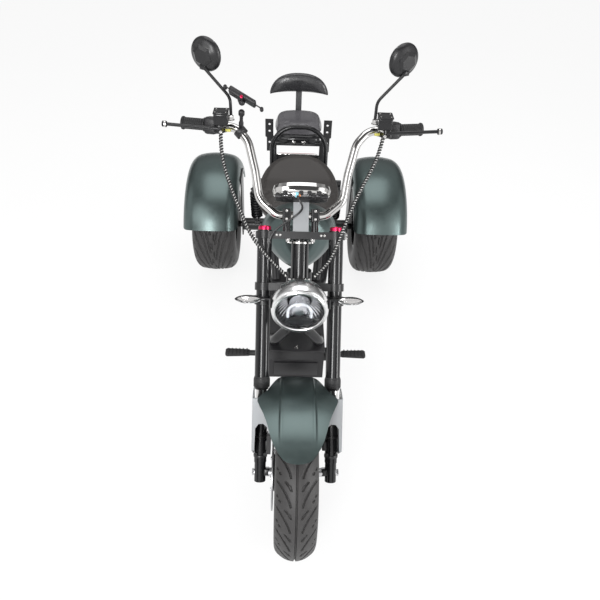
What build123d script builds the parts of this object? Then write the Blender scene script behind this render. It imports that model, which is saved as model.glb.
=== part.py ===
from build123d import *
import os
from math import atan2, cos, radians, sin, tan

# Electric tricycle with one steered front wheel and two wide rear wheels.
# Millimetres. +Z is up, the front faces -Y, and +X is to the right of someone who looks at the front.
# The origin is on the ground, at the middle of the outer box.
# "back" is a distance behind the front axle, and "up" is a height above the ground.

# Wheels and stance
FRONT_TYRE_R = 238.0
FRONT_TYRE_W = 120.0
FRONT_BEAD_R = 152.0
REAR_TYRE_R = 229.0
REAR_TYRE_W = 204.0
REAR_BEAD_R = 102.0
WHEELBASE = 1392.0
HALF_TRACK = 383.0
SEAT_FIT = 0.2
RUN_FIT = 0.05
MOVE_GAP = 5.0

# Rear mudguards, as rings about the rear axle
GUARD_R = 346.0
GUARD_HALF_W = 122.0
GUARD_SIDE_R = GUARD_R - 85.0
GUARD_HIP_R = GUARD_R - 69.0
GUARD_BEND_X = 103.0
GUARD_BEND_R = GUARD_R - 27.0
GUARD_CROWN_X = 64.0
GUARD_CROWN_R = GUARD_R - 7.0
GUARD_WALL = 4.0
GUARD_LIP_DEG = 26.0

# The outer box reaches from the front of the front tyre to the rear of the mudguards.
REAR_REACH = WHEELBASE + GUARD_R * cos(radians(GUARD_LIP_DEG))
FRONT_AXLE_Y = -(REAR_REACH - FRONT_TYRE_R) / 2
REAR_AXLE_Y = FRONT_AXLE_Y + WHEELBASE

# Fork and head, measured along the fork from the front axle
RAKE_DEG = 35.0
FORK_HALF = 106.0
FORK_END = -26.0
LOWER_R = 18.5
LOWER_END_R = 17.0
LOWER_STEP = 32.0
LOWER_TOP = 215.0
STANCHION_R = 16.0
SEAL_R = 23.5
SEAL_BOTTOM = 258.0
SEAL_TOP = 286.0
UPPER_R = 21.7
UPPER_TOP = 726.0
CAP_R = 19.0
CAP_HEIGHT = 12.0
CLAMP_T = 22.0
CLAMP_RING_R = 26.5
TOP_CLAMP = 700.0
LOW_CLAMP = 548.0
HEAD_SET_BACK = 30.0
HEAD_TUBE_R = 26.5
HEAD_BEARING_GAP = 2.0
STEERER_R = 15.0

# Handlebar, in the plane of the fork
BAR_R = 12.5
BAR_FOOT = 770.0
RISER_HALF = 42.0
RISER_R = 11.0
GRIP_R = 17.0
GRIP_LENGTH = 67.0

# Driver's seat, passenger's seat and backrest
SEAT_W = 300.0
SEAT_FRONT = 665.0
SEAT_REAR = WHEELBASE - 392.0
SEAT_UNDER = 696.0
PASSENGER_W = 206.0
PASSENGER_FRONT = WHEELBASE - 190.0
PASSENGER_REAR = WHEELBASE + 10.0
PASSENGER_UNDER = 790.0
PASSENGER_TOP = 830.0
BACKREST_W = 252.0
BACKREST_BACK = WHEELBASE + 40.0
BACKREST_TOP = 976.0

# Battery box under the floor
BOX_HALF_W = 95.0
BOX_FRONT = 362.0
BOX_REAR = 800.0
BOX_BOTTOM = 215.0
BOX_TOP = 372.0

os.makedirs("parts", exist_ok=True)

RAKE = radians(RAKE_DEG)
FORK_DIR = Vector(0, sin(RAKE), cos(RAKE))
FORK_AHEAD = Vector(0, -cos(RAKE), sin(RAKE))
FRONT_AXLE = Vector(0, FRONT_AXLE_Y, FRONT_TYRE_R)
REAR_AXLE = Vector(0, REAR_AXLE_Y, REAR_TYRE_R)


def at(x, back, up):
    """A point given by its distance behind the front axle and its height."""
    return Vector(x, FRONT_AXLE_Y + back, up)


def on_fork(x, along, ahead=0.0):
    """A point given along the fork from the front axle, and ahead of the fork's plane."""
    return FRONT_AXLE + Vector(x, 0, 0) + FORK_DIR * along + FORK_AHEAD * ahead


def fork_plane(along, x=0.0, ahead=0.0):
    """A plane square to the fork, whose local y points backwards."""
    return Plane(origin=on_fork(x, along, ahead), x_dir=(1, 0, 0), z_dir=FORK_DIR)


def wheel_plane(centre):
    """A plane through a wheel's axle, with x along the axle and y outwards from it."""
    return Plane(origin=centre, x_dir=(1, 0, 0), z_dir=(0, -1, 0))


def across(x, back, up):
    """A plane square to the X axis."""
    return Plane(origin=at(x, back, up), x_dir=(0, 1, 0), z_dir=(1, 0, 0))


def end_plane(line):
    """The plane square to a path at its start."""
    return Plane(origin=line @ 0, z_dir=line % 0)


def save(builder, name):
    """Label a finished piece and write it."""
    builder.part.label = name
    export_step(builder.part, f"parts/{name}.step")


AXLE_LINE_FRONT = Axis(origin=FRONT_AXLE, direction=(1, 0, 0))
AXLE_LINE_REAR = Axis(origin=REAR_AXLE, direction=(1, 0, 0))

# Front wheel
BEAD_HALF = 37.5
BEAD_HEIGHT = 10.0
SIDE_BULGE_R = 196.0
CROWN_SHOULDER_R = 222.0
CROWN_SHOULDER_X = 44.0
with BuildPart() as front_tyre:
    with BuildSketch(wheel_plane(FRONT_AXLE)):
        with BuildLine():
            half_w = FRONT_TYRE_W / 2
            bead_top = FRONT_BEAD_R + BEAD_HEIGHT
            Line((-BEAD_HALF, FRONT_BEAD_R), (BEAD_HALF, FRONT_BEAD_R))
            Line((BEAD_HALF, FRONT_BEAD_R), (BEAD_HALF, bead_top))
            ThreePointArc((BEAD_HALF, bead_top), (half_w - 4, bead_top + 18), (half_w, SIDE_BULGE_R))
            ThreePointArc((half_w, SIDE_BULGE_R), (half_w - 5, 211), (CROWN_SHOULDER_X, CROWN_SHOULDER_R))
            ThreePointArc(
                (CROWN_SHOULDER_X, CROWN_SHOULDER_R), (0, FRONT_TYRE_R), (-CROWN_SHOULDER_X, CROWN_SHOULDER_R)
            )
            ThreePointArc((-CROWN_SHOULDER_X, CROWN_SHOULDER_R), (5 - half_w, 211), (-half_w, SIDE_BULGE_R))
            ThreePointArc((-half_w, SIDE_BULGE_R), (4 - half_w, bead_top + 18), (-BEAD_HALF, bead_top))
            Line((-BEAD_HALF, bead_top), (-BEAD_HALF, FRONT_BEAD_R))
        make_face()
    revolve(axis=AXLE_LINE_FRONT)
save(front_tyre, "front_tyre")

# The rim's barrel carries the beads, and five spokes join it to the hub.
RIM_WALL = 5.0
RIM_WELL = 14.0
FLANGE_T = 4.0
FRONT_HUB_R = 30.0
FRONT_HUB_HALF = 60.0
FRONT_AXLE_R = 8.0
FRONT_SPOKES = 5
SPOKE_W = 34.0
SPOKE_T = 18.0
DISC_X = -68.0
DISC_T = 4.0
DISC_R = 108.0
DISC_INNER_R = 62.0
with BuildPart() as front_rim:
    with BuildSketch(wheel_plane(FRONT_AXLE)):
        with BuildLine():
            seat_r = FRONT_BEAD_R - SEAT_FIT
            flange_in = BEAD_HALF + SEAT_FIT
            flange_out = flange_in + FLANGE_T
            Polyline(
                (-flange_out, bead_top - 2), (-flange_in, bead_top - 2), (-flange_in, seat_r), (-20, seat_r),
                (-14, seat_r - RIM_WELL), (14, seat_r - RIM_WELL), (20, seat_r), (flange_in, seat_r),
                (flange_in, bead_top - 2), (flange_out, bead_top - 2), (flange_out, seat_r - RIM_WALL),
                (22, seat_r - RIM_WALL), (16, seat_r - RIM_WELL - RIM_WALL),
                (-16, seat_r - RIM_WELL - RIM_WALL), (-22, seat_r - RIM_WALL),
                (-flange_out, seat_r - RIM_WALL), close=True,
            )
        make_face()
    revolve(axis=AXLE_LINE_FRONT)
    with BuildSketch(Plane(origin=FRONT_AXLE - Vector(FRONT_HUB_HALF, 0, 0), z_dir=(1, 0, 0))):
        Circle(FRONT_HUB_R)
    extrude(amount=2 * FRONT_HUB_HALF)
    with BuildSketch(Plane(origin=FRONT_AXLE - Vector(SPOKE_T / 2, 0, 0), z_dir=(1, 0, 0))):
        spoke_mid = (FRONT_HUB_R + seat_r - RIM_WELL - RIM_WALL) / 2
        spoke_len = seat_r - RIM_WELL - FRONT_HUB_R
        with PolarLocations(spoke_mid, FRONT_SPOKES):
            Rectangle(spoke_len + 6, SPOKE_W)
    extrude(amount=SPOKE_T)
    with BuildSketch(Plane(origin=FRONT_AXLE - Vector(-DISC_X - DISC_T / 2, 0, 0), z_dir=(1, 0, 0))):
        Circle(DISC_INNER_R - 8)
    extrude(amount=-DISC_X - DISC_T / 2 - FRONT_HUB_HALF + 6)
    with BuildSketch(Plane(origin=FRONT_AXLE - Vector(100, 0, 0), z_dir=(1, 0, 0))):
        Circle(FRONT_AXLE_R + RUN_FIT)
    extrude(amount=200, mode=Mode.SUBTRACT)
save(front_rim, "front_rim")

DISC_HOLES = 24
with BuildPart() as front_disc:
    with BuildSketch(Plane(origin=FRONT_AXLE + Vector(DISC_X - DISC_T / 2, 0, 0), z_dir=(1, 0, 0))):
        Circle(DISC_R)
        Circle(DISC_INNER_R - 24, mode=Mode.SUBTRACT)
        with PolarLocations(DISC_R - 10, DISC_HOLES):
            Circle(3.5, mode=Mode.SUBTRACT)
        with PolarLocations(DISC_R - 22, DISC_HOLES, start_angle=7.5):
            Circle(3.5, mode=Mode.SUBTRACT)
    extrude(amount=DISC_T)
save(front_disc, "front_disc")

# The front axle is fixed in the fork, with a spacer on each side of the hub.
LEG_INNER = FORK_HALF - LOWER_R
SPACER_R = 13.0
AXLE_HALF = FORK_HALF + LOWER_R + 3
with BuildPart() as front_axle:
    with BuildSketch(Plane(origin=FRONT_AXLE - Vector(AXLE_HALF, 0, 0), z_dir=(1, 0, 0))):
        Circle(FRONT_AXLE_R)
    extrude(amount=2 * AXLE_HALF)
    for side in (-1, 1):
        inner = FRONT_HUB_HALF + 1 if side > 0 else -DISC_X + DISC_T / 2 + 1
        with BuildSketch(Plane(origin=FRONT_AXLE + Vector(side * inner, 0, 0), z_dir=(side, 0, 0))):
            Circle(SPACER_R)
        extrude(amount=LEG_INNER - inner)
        with BuildSketch(Plane(origin=FRONT_AXLE + Vector(side * (FORK_HALF + LOWER_R), 0, 0), z_dir=(side, 0, 0))):
            RegularPolygon(radius=10, side_count=6)
        extrude(amount=5)
save(front_axle, "front_axle")

# Fork
with BuildPart() as fork_lowers:
    for x in (-FORK_HALF, FORK_HALF):
        with BuildSketch(fork_plane(FORK_END, x)):
            Circle(LOWER_END_R)
        extrude(amount=LOWER_STEP - FORK_END)
        with BuildSketch(fork_plane(LOWER_STEP, x)):
            Circle(LOWER_R)
        extrude(amount=LOWER_TOP - LOWER_STEP)
    with BuildSketch(Plane(origin=FRONT_AXLE - Vector(FORK_HALF + 40, 0, 0), z_dir=(1, 0, 0))):
        Circle(FRONT_AXLE_R)
    extrude(amount=2 * (FORK_HALF + 40), mode=Mode.SUBTRACT)
save(fork_lowers, "fork_lowers")

with BuildPart() as fork_stanchions:
    with BuildSketch(fork_plane(LOWER_TOP)):
        with Locations((-FORK_HALF, 0), (FORK_HALF, 0)):
            Circle(STANCHION_R)
    extrude(amount=SEAL_BOTTOM - LOWER_TOP)
save(fork_stanchions, "fork_stanchions")

with BuildPart() as fork_uppers:
    with BuildSketch(fork_plane(SEAL_BOTTOM)):
        with Locations((-FORK_HALF, 0), (FORK_HALF, 0)):
            Circle(SEAL_R)
    extrude(amount=SEAL_TOP - SEAL_BOTTOM)
    with BuildSketch(fork_plane(SEAL_TOP)):
        with Locations((-FORK_HALF, 0), (FORK_HALF, 0)):
            Circle(UPPER_R)
    extrude(amount=UPPER_TOP - SEAL_TOP)
save(fork_uppers, "fork_uppers")

with BuildPart() as fork_caps:
    with BuildSketch(fork_plane(UPPER_TOP)):
        with Locations((-FORK_HALF, 0), (FORK_HALF, 0)):
            Circle(CAP_R)
    extrude(amount=CAP_HEIGHT)
    chamfer(fork_caps.faces().sort_by(Axis(FRONT_AXLE, FORK_DIR))[-2:].edges(), 3)
save(fork_caps, "fork_caps")

# Two clamps join the fork tubes, and the steerer stands on the lower one.
WEB_HALF_D = 22.0
with BuildPart() as triple_clamps:
    for along in (LOW_CLAMP, TOP_CLAMP):
        with BuildSketch(fork_plane(along)):
            with Locations((-FORK_HALF, 0), (FORK_HALF, 0)):
                Circle(CLAMP_RING_R)
            Rectangle(2 * FORK_HALF, 2 * WEB_HALF_D)
            with Locations((0, HEAD_SET_BACK)):
                Circle(HEAD_TUBE_R + 2)
            with Locations((-FORK_HALF, 0), (FORK_HALF, 0)):
                Circle(UPPER_R, mode=Mode.SUBTRACT)
        extrude(amount=CLAMP_T)
    with BuildSketch(fork_plane(LOW_CLAMP + CLAMP_T)):
        with Locations((0, HEAD_SET_BACK)):
            Circle(STEERER_R)
    extrude(amount=TOP_CLAMP - LOW_CLAMP - CLAMP_T)

# Handlebar path, from the left tip to the right one: across, along the fork, ahead of its plane, bend radius
BAR_TABLE = (
    (355, 1040, -29, 0),
    (196, 1025, -2, 55),
    (160, 985, 0, 70),
    (137, 895, 0, 120),
    (124, 815, 0, 55),
    (72, BAR_FOOT, 0, 40),
)
bar_right = [on_fork(x, along, ahead) for x, along, ahead, bend in BAR_TABLE]
bar_left = [on_fork(-x, along, ahead) for x, along, ahead, bend in BAR_TABLE]
bar_bends = [bend for x, along, ahead, bend in BAR_TABLE[1:]]
with BuildPart() as handlebar:
    with BuildLine() as bar_line:
        FilletPolyline(*(bar_left + bar_right[::-1]), radius=bar_bends + bar_bends[::-1])
    with BuildSketch(end_plane(bar_line.line)):
        Circle(BAR_R)
    sweep(path=bar_line.line)
save(handlebar, "handlebar")

RISER_FOOT = TOP_CLAMP + CLAMP_T
RISER_BLOCK = 38.0
RISER_BLOCK_W = 26.0
with BuildPart() as bar_risers:
    for x in (-RISER_HALF, RISER_HALF):
        with BuildSketch(fork_plane(RISER_FOOT, x)):
            Circle(RISER_R)
        extrude(amount=BAR_FOOT - RISER_FOOT)
        with BuildSketch(fork_plane(BAR_FOOT - RISER_BLOCK / 2, x)):
            RectangleRounded(RISER_BLOCK_W, RISER_BLOCK + 6, 6)
        extrude(amount=RISER_BLOCK)
    with BuildSketch(Plane(origin=on_fork(-100, BAR_FOOT), z_dir=(1, 0, 0))):
        Circle(BAR_R)
    extrude(amount=200, mode=Mode.SUBTRACT)
save(bar_risers, "bar_risers")


CONTROL_AHEAD = Vector(0, -0.95, 0.31).normalized()


def bar_end(side, from_tip):
    """A plane square to the bar's end, facing outwards, at a distance from its tip."""
    tip = bar_right[0] if side > 0 else bar_left[0]
    bend = bar_right[1] if side > 0 else bar_left[1]
    outwards = (tip - bend).normalized()
    return Plane(origin=tip - outwards * from_tip, x_dir=CONTROL_AHEAD, z_dir=outwards)


with BuildPart() as grips:
    for side in (-1, 1):
        with BuildSketch(bar_end(side, GRIP_LENGTH)):
            Circle(GRIP_R)
            Circle(BAR_R, mode=Mode.SUBTRACT)
        extrude(amount=GRIP_LENGTH)
        with BuildSketch(bar_end(side, 0)):
            Circle(GRIP_R)
        extrude(amount=6)
save(grips, "grips")

POD_W = 40.0
with BuildPart() as bar_controls:
    for side in (-1, 1):
        with BuildSketch(bar_end(side, GRIP_LENGTH + 1 + POD_W)):
            RectangleRounded(46, 54, 12)
            Circle(BAR_R, mode=Mode.SUBTRACT)
        extrude(amount=POD_W)
# Brake master cylinders with their square reservoirs and levers
MASTER_IN = GRIP_LENGTH + 1 + POD_W + 1
MASTER_W = 26.0
LEVER_R = 5.0
LEVER_TIP_X = 392.0
LEVER_BALL_R = 8.5
LEVER_END_L = 12.0
RESERVOIR_W = 42.0
RESERVOIR_H = 38.0
with BuildPart() as brake_masters:
    for side in (-1, 1):
        with BuildSketch(bar_end(side, MASTER_IN + MASTER_W)):
            with Locations((20, 0)):
                RectangleRounded(78, 36, 8)
            Circle(BAR_R, mode=Mode.SUBTRACT)
        extrude(amount=MASTER_W)
        base = bar_end(side, MASTER_IN + MASTER_W / 2).origin
        with Locations(Plane(origin=base + Vector(0, -36, 40), x_dir=(1, 0, 0), z_dir=(0, 0, 1))):
            Box(RESERVOIR_W, RESERVOIR_W, RESERVOIR_H)
with bar_controls:
    add(brake_masters.part)
save(bar_controls, "bar_controls")

with BuildPart() as brake_levers:
    for side in (-1, 1):
        root = bar_end(side, MASTER_IN + 8).origin + CONTROL_AHEAD * 61 - Vector(0, 0, 3)
        tip = Vector(side * LEVER_TIP_X, FRONT_AXLE_Y + 556, 1095)
        with BuildSketch(Plane(origin=root, z_dir=tip - root)):
            Circle(LEVER_R)
        extrude(amount=(tip - root).length)
        with BuildSketch(Plane(origin=tip, z_dir=tip - root)):
            Circle(LEVER_BALL_R)
        extrude(amount=LEVER_END_L)
    add(brake_masters.part, mode=Mode.SUBTRACT)
save(brake_levers, "brake_levers")

# Mirrors on bent stems that stand on the master cylinders
MIRROR_R = 48.0
MIRROR_T = 16.0
MIRROR_AT = at(271, 606, 1281)
MIRROR_OUT = Vector(-0.45, 0.85, 0.05).normalized()
MIRROR_STEM_R = 4.5
with BuildPart() as mirror_shells:
    for side in (-1, 1):
        centre = Vector(side * MIRROR_AT.X, MIRROR_AT.Y, MIRROR_AT.Z)
        facing = Vector(side * MIRROR_OUT.X, MIRROR_OUT.Y, MIRROR_OUT.Z)
        beside = RESERVOIR_W / 2 + MIRROR_STEM_R + SEAT_FIT
        base = bar_end(side, MASTER_IN + MASTER_W / 2).origin + Vector(-side * beside, -14, 30)
        knee = base + Vector(0, 0, 62)
        stem_top = centre - facing * (MIRROR_T - 4) + Vector(0, 0, -30)
        with BuildLine() as stem_line:
            FilletPolyline(base, knee, stem_top, radius=18)
        with BuildSketch(end_plane(stem_line.line)):
            Circle(MIRROR_STEM_R)
        sweep(path=stem_line.line)
        with BuildSketch(Plane(origin=centre - facing * MIRROR_T, z_dir=facing)):
            Circle(MIRROR_R - 10)
        with BuildSketch(Plane(origin=centre, z_dir=facing)):
            Circle(MIRROR_R)
        loft()
save(mirror_shells, "mirror_shells")

MIRROR_GLASS_T = 3.0
with BuildPart() as mirror_glasses:
    for side in (-1, 1):
        centre = Vector(side * MIRROR_AT.X, MIRROR_AT.Y, MIRROR_AT.Z)
        facing = Vector(side * MIRROR_OUT.X, MIRROR_OUT.Y, MIRROR_OUT.Z)
        with BuildSketch(Plane(origin=centre, z_dir=facing)):
            Circle(MIRROR_R - 3)
        extrude(amount=MIRROR_GLASS_T)
save(mirror_glasses, "mirror_glasses")

# Speedometer above the risers, its face towards the rider
DASH_TILT_DEG = 50.0
DASH_AT = at(0, 458, 938)
DASH_HALF_W = 85.0
DASH_HALF_H = 44.0
DASH_T = 30.0
dash_facing = Vector(0, sin(radians(DASH_TILT_DEG)), cos(radians(DASH_TILT_DEG)))
with BuildPart() as speedometer:
    with BuildSketch(Plane(origin=DASH_AT - dash_facing * DASH_T / 2, x_dir=(1, 0, 0), z_dir=dash_facing)):
        Ellipse(DASH_HALF_W, DASH_HALF_H)
    extrude(amount=DASH_T)
    fillet(speedometer.edges(), 8)
save(speedometer, "speedometer")

DASH_PLATE_T = 5.0
DASH_PLATE_H = 100.0
with BuildPart() as dash_bracket:
    with BuildSketch(fork_plane(RISER_FOOT, 0, BAR_R + 1 + DASH_PLATE_T / 2)):
        Rectangle(46, DASH_PLATE_T)
    extrude(amount=DASH_PLATE_H)
    add(speedometer.part, mode=Mode.SUBTRACT)
save(dash_bracket, "dash_bracket")

# Headlight, held by rings on the fork tubes
RING_ALONG = 505.0
LAMP_AHEAD = 108.5
LAMP_R = 82.0
LAMP_LENS_R = 68.0
LAMP_DEPTH = 96.0
LAMP_WALL = 3.0
LAMP_TILT_DEG = 3.0
LAMP_AT = on_fork(0, RING_ALONG - 10, LAMP_AHEAD)
lamp_back = Vector(0, cos(radians(LAMP_TILT_DEG)), sin(radians(LAMP_TILT_DEG)))
lamp_plane = Plane(origin=LAMP_AT, x_dir=(1, 0, 0), z_dir=Vector(1, 0, 0).cross(lamp_back))
lamp_axis = Axis(origin=LAMP_AT, direction=lamp_back)
# The bowl's arc leaves the rim along the lamp's axis and ends at the back disc.
LAMP_RIM_BACK = 18.0
LAMP_BACK_R = 22.0
bowl_rise = LAMP_R - LAMP_BACK_R
bowl_run = LAMP_DEPTH - LAMP_RIM_BACK
bowl_arc_r = (bowl_rise**2 + bowl_run**2) / (2 * bowl_rise)
bowl_mid = atan2(bowl_run, bowl_arc_r - bowl_rise) / 2


def bowl_point(angle, wall):
    """A point of the bowl's section: its radius, and how far it is behind the lens."""
    arc_r = bowl_arc_r - wall
    return LAMP_R - bowl_arc_r + arc_r * cos(angle), LAMP_RIM_BACK + arc_r * sin(angle)


with BuildPart() as headlight_shell:
    with BuildSketch(lamp_plane):
        with BuildLine():
            Line((LAMP_LENS_R + 1, 0), (LAMP_LENS_R + 4, -2))
            ThreePointArc((LAMP_LENS_R + 4, -2), (LAMP_R - 2, 8), (LAMP_R, LAMP_RIM_BACK))
            ThreePointArc((LAMP_R, LAMP_RIM_BACK), bowl_point(bowl_mid, 0), bowl_point(2 * bowl_mid, 0))
            Line(bowl_point(2 * bowl_mid, 0), (0, LAMP_DEPTH))
            Line((0, LAMP_DEPTH), (0, LAMP_DEPTH - LAMP_WALL))
            Line((0, LAMP_DEPTH - LAMP_WALL), bowl_point(2 * bowl_mid, LAMP_WALL))
            ThreePointArc(bowl_point(2 * bowl_mid, LAMP_WALL), bowl_point(bowl_mid, LAMP_WALL),
                          (LAMP_R - LAMP_WALL, LAMP_RIM_BACK))
            Line((LAMP_R - LAMP_WALL, LAMP_RIM_BACK), (LAMP_LENS_R + 1, 10))
            Line((LAMP_LENS_R + 1, 10), (LAMP_LENS_R + 1, 0))
        make_face()
    revolve(axis=lamp_axis)
save(headlight_shell, "headlight_shell")

with BuildPart() as headlight_lens:
    with BuildSketch(Plane(origin=LAMP_AT + lamp_back * 2, z_dir=lamp_back)):
        Circle(LAMP_LENS_R + 1 - SEAT_FIT)
    extrude(amount=4)
save(headlight_lens, "headlight_lens")

# Arms from rings on the fork tubes hold the headlight and the indicators.
RING_H = 26.0
RING_R = 27.0
ARM_T = 4.0
ARM_REACH = 112.0
with triple_clamps:
    for x in (-FORK_HALF, FORK_HALF):
        arm_x = (LAMP_R + SEAT_FIT + ARM_T / 2) * (1 if x > 0 else -1)
        with BuildSketch(fork_plane(RING_ALONG, x)):
            Circle(RING_R)
            with Locations((arm_x - x, -ARM_REACH / 2)):
                Rectangle(ARM_T, ARM_REACH)
            Circle(UPPER_R, mode=Mode.SUBTRACT)
        extrude(amount=RING_H)
save(triple_clamps, "triple_clamps")

SIGNAL_STALK_R = 5.0
SIGNAL_HALF_L = 39.0
SIGNAL_HALF_H = 13.5
SIGNAL_MID_X = 147.0
SIGNAL_AHEAD = 45.0
with BuildPart() as turn_signals:
    for side in (-1, 1):
        signal_mid = on_fork(side * SIGNAL_MID_X, RING_ALONG + RING_H - 8, SIGNAL_AHEAD)
        stalk_x = LAMP_R + SEAT_FIT + ARM_T
        with BuildSketch(Plane(origin=signal_mid - Vector(side * (SIGNAL_MID_X - stalk_x), 0, 0), z_dir=(side, 0, 0))):
            Circle(SIGNAL_STALK_R)
        extrude(amount=SIGNAL_MID_X - stalk_x)
        with BuildSketch(Plane(origin=signal_mid, x_dir=(1, 0, 0), z_dir=(0, -1, 0))):
            with BuildLine():
                flank = (0.55 * SIGNAL_HALF_L, 0.72 * SIGNAL_HALF_H)
                Spline((-SIGNAL_HALF_L, 1), (-flank[0], flank[1]), (0, SIGNAL_HALF_H), flank, (SIGNAL_HALF_L, 1))
                Polyline((SIGNAL_HALF_L, 1), (SIGNAL_HALF_L, 0), (-SIGNAL_HALF_L, 0), (-SIGNAL_HALF_L, 1))
            make_face()
        revolve(axis=Axis(origin=signal_mid, direction=(1, 0, 0)))
save(turn_signals, "turn_signals")

# Front mudguard: a shallow arc about the front axle, cut to a shield seen from above
FENDER_R = FRONT_TYRE_R + 44.0
FENDER_WALL = 3.0
FENDER_HALF_W = 114.0
FENDER_DROP = 11.0
# Outline of one half, as distance from the middle and behind the front axle
SHIELD_TABLE = ((0, -137), (30, -133), (46, -122), (57, -108), (68, -85), (84, -30), (106, 30),
                (FENDER_HALF_W, 56), (110, 68), (87, 95), (65, 160), (50, 215), (0, 222))
with BuildPart() as front_fender:
    with BuildSketch(wheel_plane(FRONT_AXLE)):
        with BuildLine():
            ThreePointArc((-FENDER_HALF_W, FENDER_R - FENDER_DROP), (0, FENDER_R),
                          (FENDER_HALF_W, FENDER_R - FENDER_DROP))
            Line((FENDER_HALF_W, FENDER_R - FENDER_DROP), (FENDER_HALF_W, FENDER_R - FENDER_DROP - FENDER_WALL))
            ThreePointArc((FENDER_HALF_W, FENDER_R - FENDER_DROP - FENDER_WALL), (0, FENDER_R - FENDER_WALL),
                          (-FENDER_HALF_W, FENDER_R - FENDER_DROP - FENDER_WALL))
            Line((-FENDER_HALF_W, FENDER_R - FENDER_DROP - FENDER_WALL), (-FENDER_HALF_W, FENDER_R - FENDER_DROP))
        make_face()
    revolve(axis=AXLE_LINE_FRONT)
    with BuildSketch(Plane.XY.offset(FRONT_TYRE_R + 40)):
        with BuildLine():
            right = [(x, FRONT_AXLE_Y + back) for x, back in SHIELD_TABLE]
            left = [(-x, y) for x, y in right[-2:0:-1]]
            Polyline(*(right + left), close=True)
        make_face()
    extrude(amount=400, mode=Mode.INTERSECT)
save(front_fender, "front_fender")

# Stays: a web under each wing of the mudguard, arched over the leg, and a plate outside the leg.
STAY_T = 3.0
STAY_X = FORK_HALF + LOWER_R + SEAT_FIT
STAY_AHEAD = 100.0
STAY_TOP = FENDER_R
STAY_FOOT = 62.0
# Outlines as across and along the fork for the web, and along and ahead for the plate
WEB_TABLE = ((72, 150), (76, STAY_TOP), (STAY_X, STAY_TOP), (STAY_X, 100), (120, 100), (118, 164), (109, 176),
             (96, 177), (86, 168), (80, 150))
PLATE_TABLE = ((STAY_TOP, STAY_AHEAD), (STAY_TOP, 50), (190, -14), (STAY_FOOT, -14), (STAY_FOOT, 14),
               (100, STAY_AHEAD))
with BuildPart() as over_wings:
    with BuildSketch(wheel_plane(FRONT_AXLE)):
        with BuildLine():
            wing_r = FENDER_R - FENDER_DROP - FENDER_WALL
            past_w = STAY_X + 2 * STAY_T
            ThreePointArc((-FENDER_HALF_W, wing_r), (0, FENDER_R - FENDER_WALL), (FENDER_HALF_W, wing_r))
            Polyline((FENDER_HALF_W, wing_r), (past_w, wing_r), (past_w, FENDER_R + 90), (-past_w, FENDER_R + 90),
                     (-past_w, wing_r), (-FENDER_HALF_W, wing_r))
        make_face()
    revolve(axis=AXLE_LINE_FRONT)
with BuildPart() as fender_stays:
    for side in (-1, 1):
        with BuildSketch(Plane(origin=on_fork(0, 0, STAY_AHEAD), x_dir=(1, 0, 0), z_dir=FORK_AHEAD)):
            with BuildLine():
                Polyline(*((side * x, along) for x, along in WEB_TABLE), close=True)
            make_face()
        extrude(amount=-STAY_T)
        with BuildSketch(across(side * STAY_X - (STAY_T if side < 0 else 0), 0, 0)):
            with BuildLine():
                corners = [on_fork(0, along, ahead) for along, ahead in PLATE_TABLE]
                Polyline(*((corner.Y - FRONT_AXLE_Y, corner.Z) for corner in corners), close=True)
            make_face()
        extrude(amount=STAY_T)
    add(over_wings.part, mode=Mode.SUBTRACT)
save(fender_stays, "fender_stays")

# Front brake caliper on the left leg, astride the disc
CALIPER_T = 40.0
with BuildPart() as front_caliper:
    with Locations(Plane(origin=on_fork(-FORK_HALF + LOWER_R + SEAT_FIT, 92, 8), x_dir=(1, 0, 0), z_dir=FORK_DIR)):
        Box(CALIPER_T, 44, 56, align=(Align.MIN, Align.CENTER, Align.CENTER))
    with BuildSketch(Plane(origin=FRONT_AXLE + Vector(DISC_X - DISC_T / 2 - MOVE_GAP, 0, 0), z_dir=(1, 0, 0))):
        Circle(DISC_R + MOVE_GAP)
    extrude(amount=DISC_T + 2 * MOVE_GAP, mode=Mode.SUBTRACT)
save(front_caliper, "front_caliper")

# Frame
HEAD_BOTTOM = LOW_CLAMP + CLAMP_T + HEAD_BEARING_GAP
HEAD_TOP = TOP_CLAMP - HEAD_BEARING_GAP
with BuildPart() as head_tube:
    with BuildSketch(fork_plane(HEAD_BOTTOM)):
        with Locations((0, HEAD_SET_BACK)):
            Circle(HEAD_TUBE_R)
            Circle(STEERER_R + RUN_FIT, mode=Mode.SUBTRACT)
    extrude(amount=HEAD_TOP - HEAD_BOTTOM)
save(head_tube, "head_tube")

# Frame tubes: name, radius, bend radius, and points as across, back, up. A tube off the middle has a twin.
TUBE_R = 16.0
RAIL_UP = 565.0
SEAT_PAN_T = 16.0
SEAT_RAIL_UP = SEAT_UNDER - SEAT_PAN_T - TUBE_R
TAIL_BACK = WHEELBASE + 48.0
ARM_R = 18.0
ARM_X = 150.0
ARM_UP = 240.0
TUBES = {
    "down_tubes": (TUBE_R, 60, ((22, 395, 700), (30, 372, 480), (78, 385, 405), (78, 445, BOX_TOP - 4))),
    "spine_tube": (24.0, 90, ((0, 428, 742), (0, 560, 660), (0, 930, 640))),
    "seat_rails": (TUBE_R, 70, ((60, 640, SEAT_RAIL_UP), (104, 900, SEAT_RAIL_UP),
                                (104, WHEELBASE - 262, RAIL_UP),
                                (104, TAIL_BACK + 2, RAIL_UP))),
    "seat_struts": (TUBE_R, 40, ((78, 762, BOX_TOP), (96, 905, 500), (96, 940, 640))),
    "rear_arms": (ARM_R, 60, ((70, BOX_REAR - 10, 262), (118, 930, ARM_UP), (ARM_X, WHEELBASE - 212, ARM_UP),
                               (ARM_X, WHEELBASE - 40, ARM_UP))),
}
frame_tubes = {}
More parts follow.
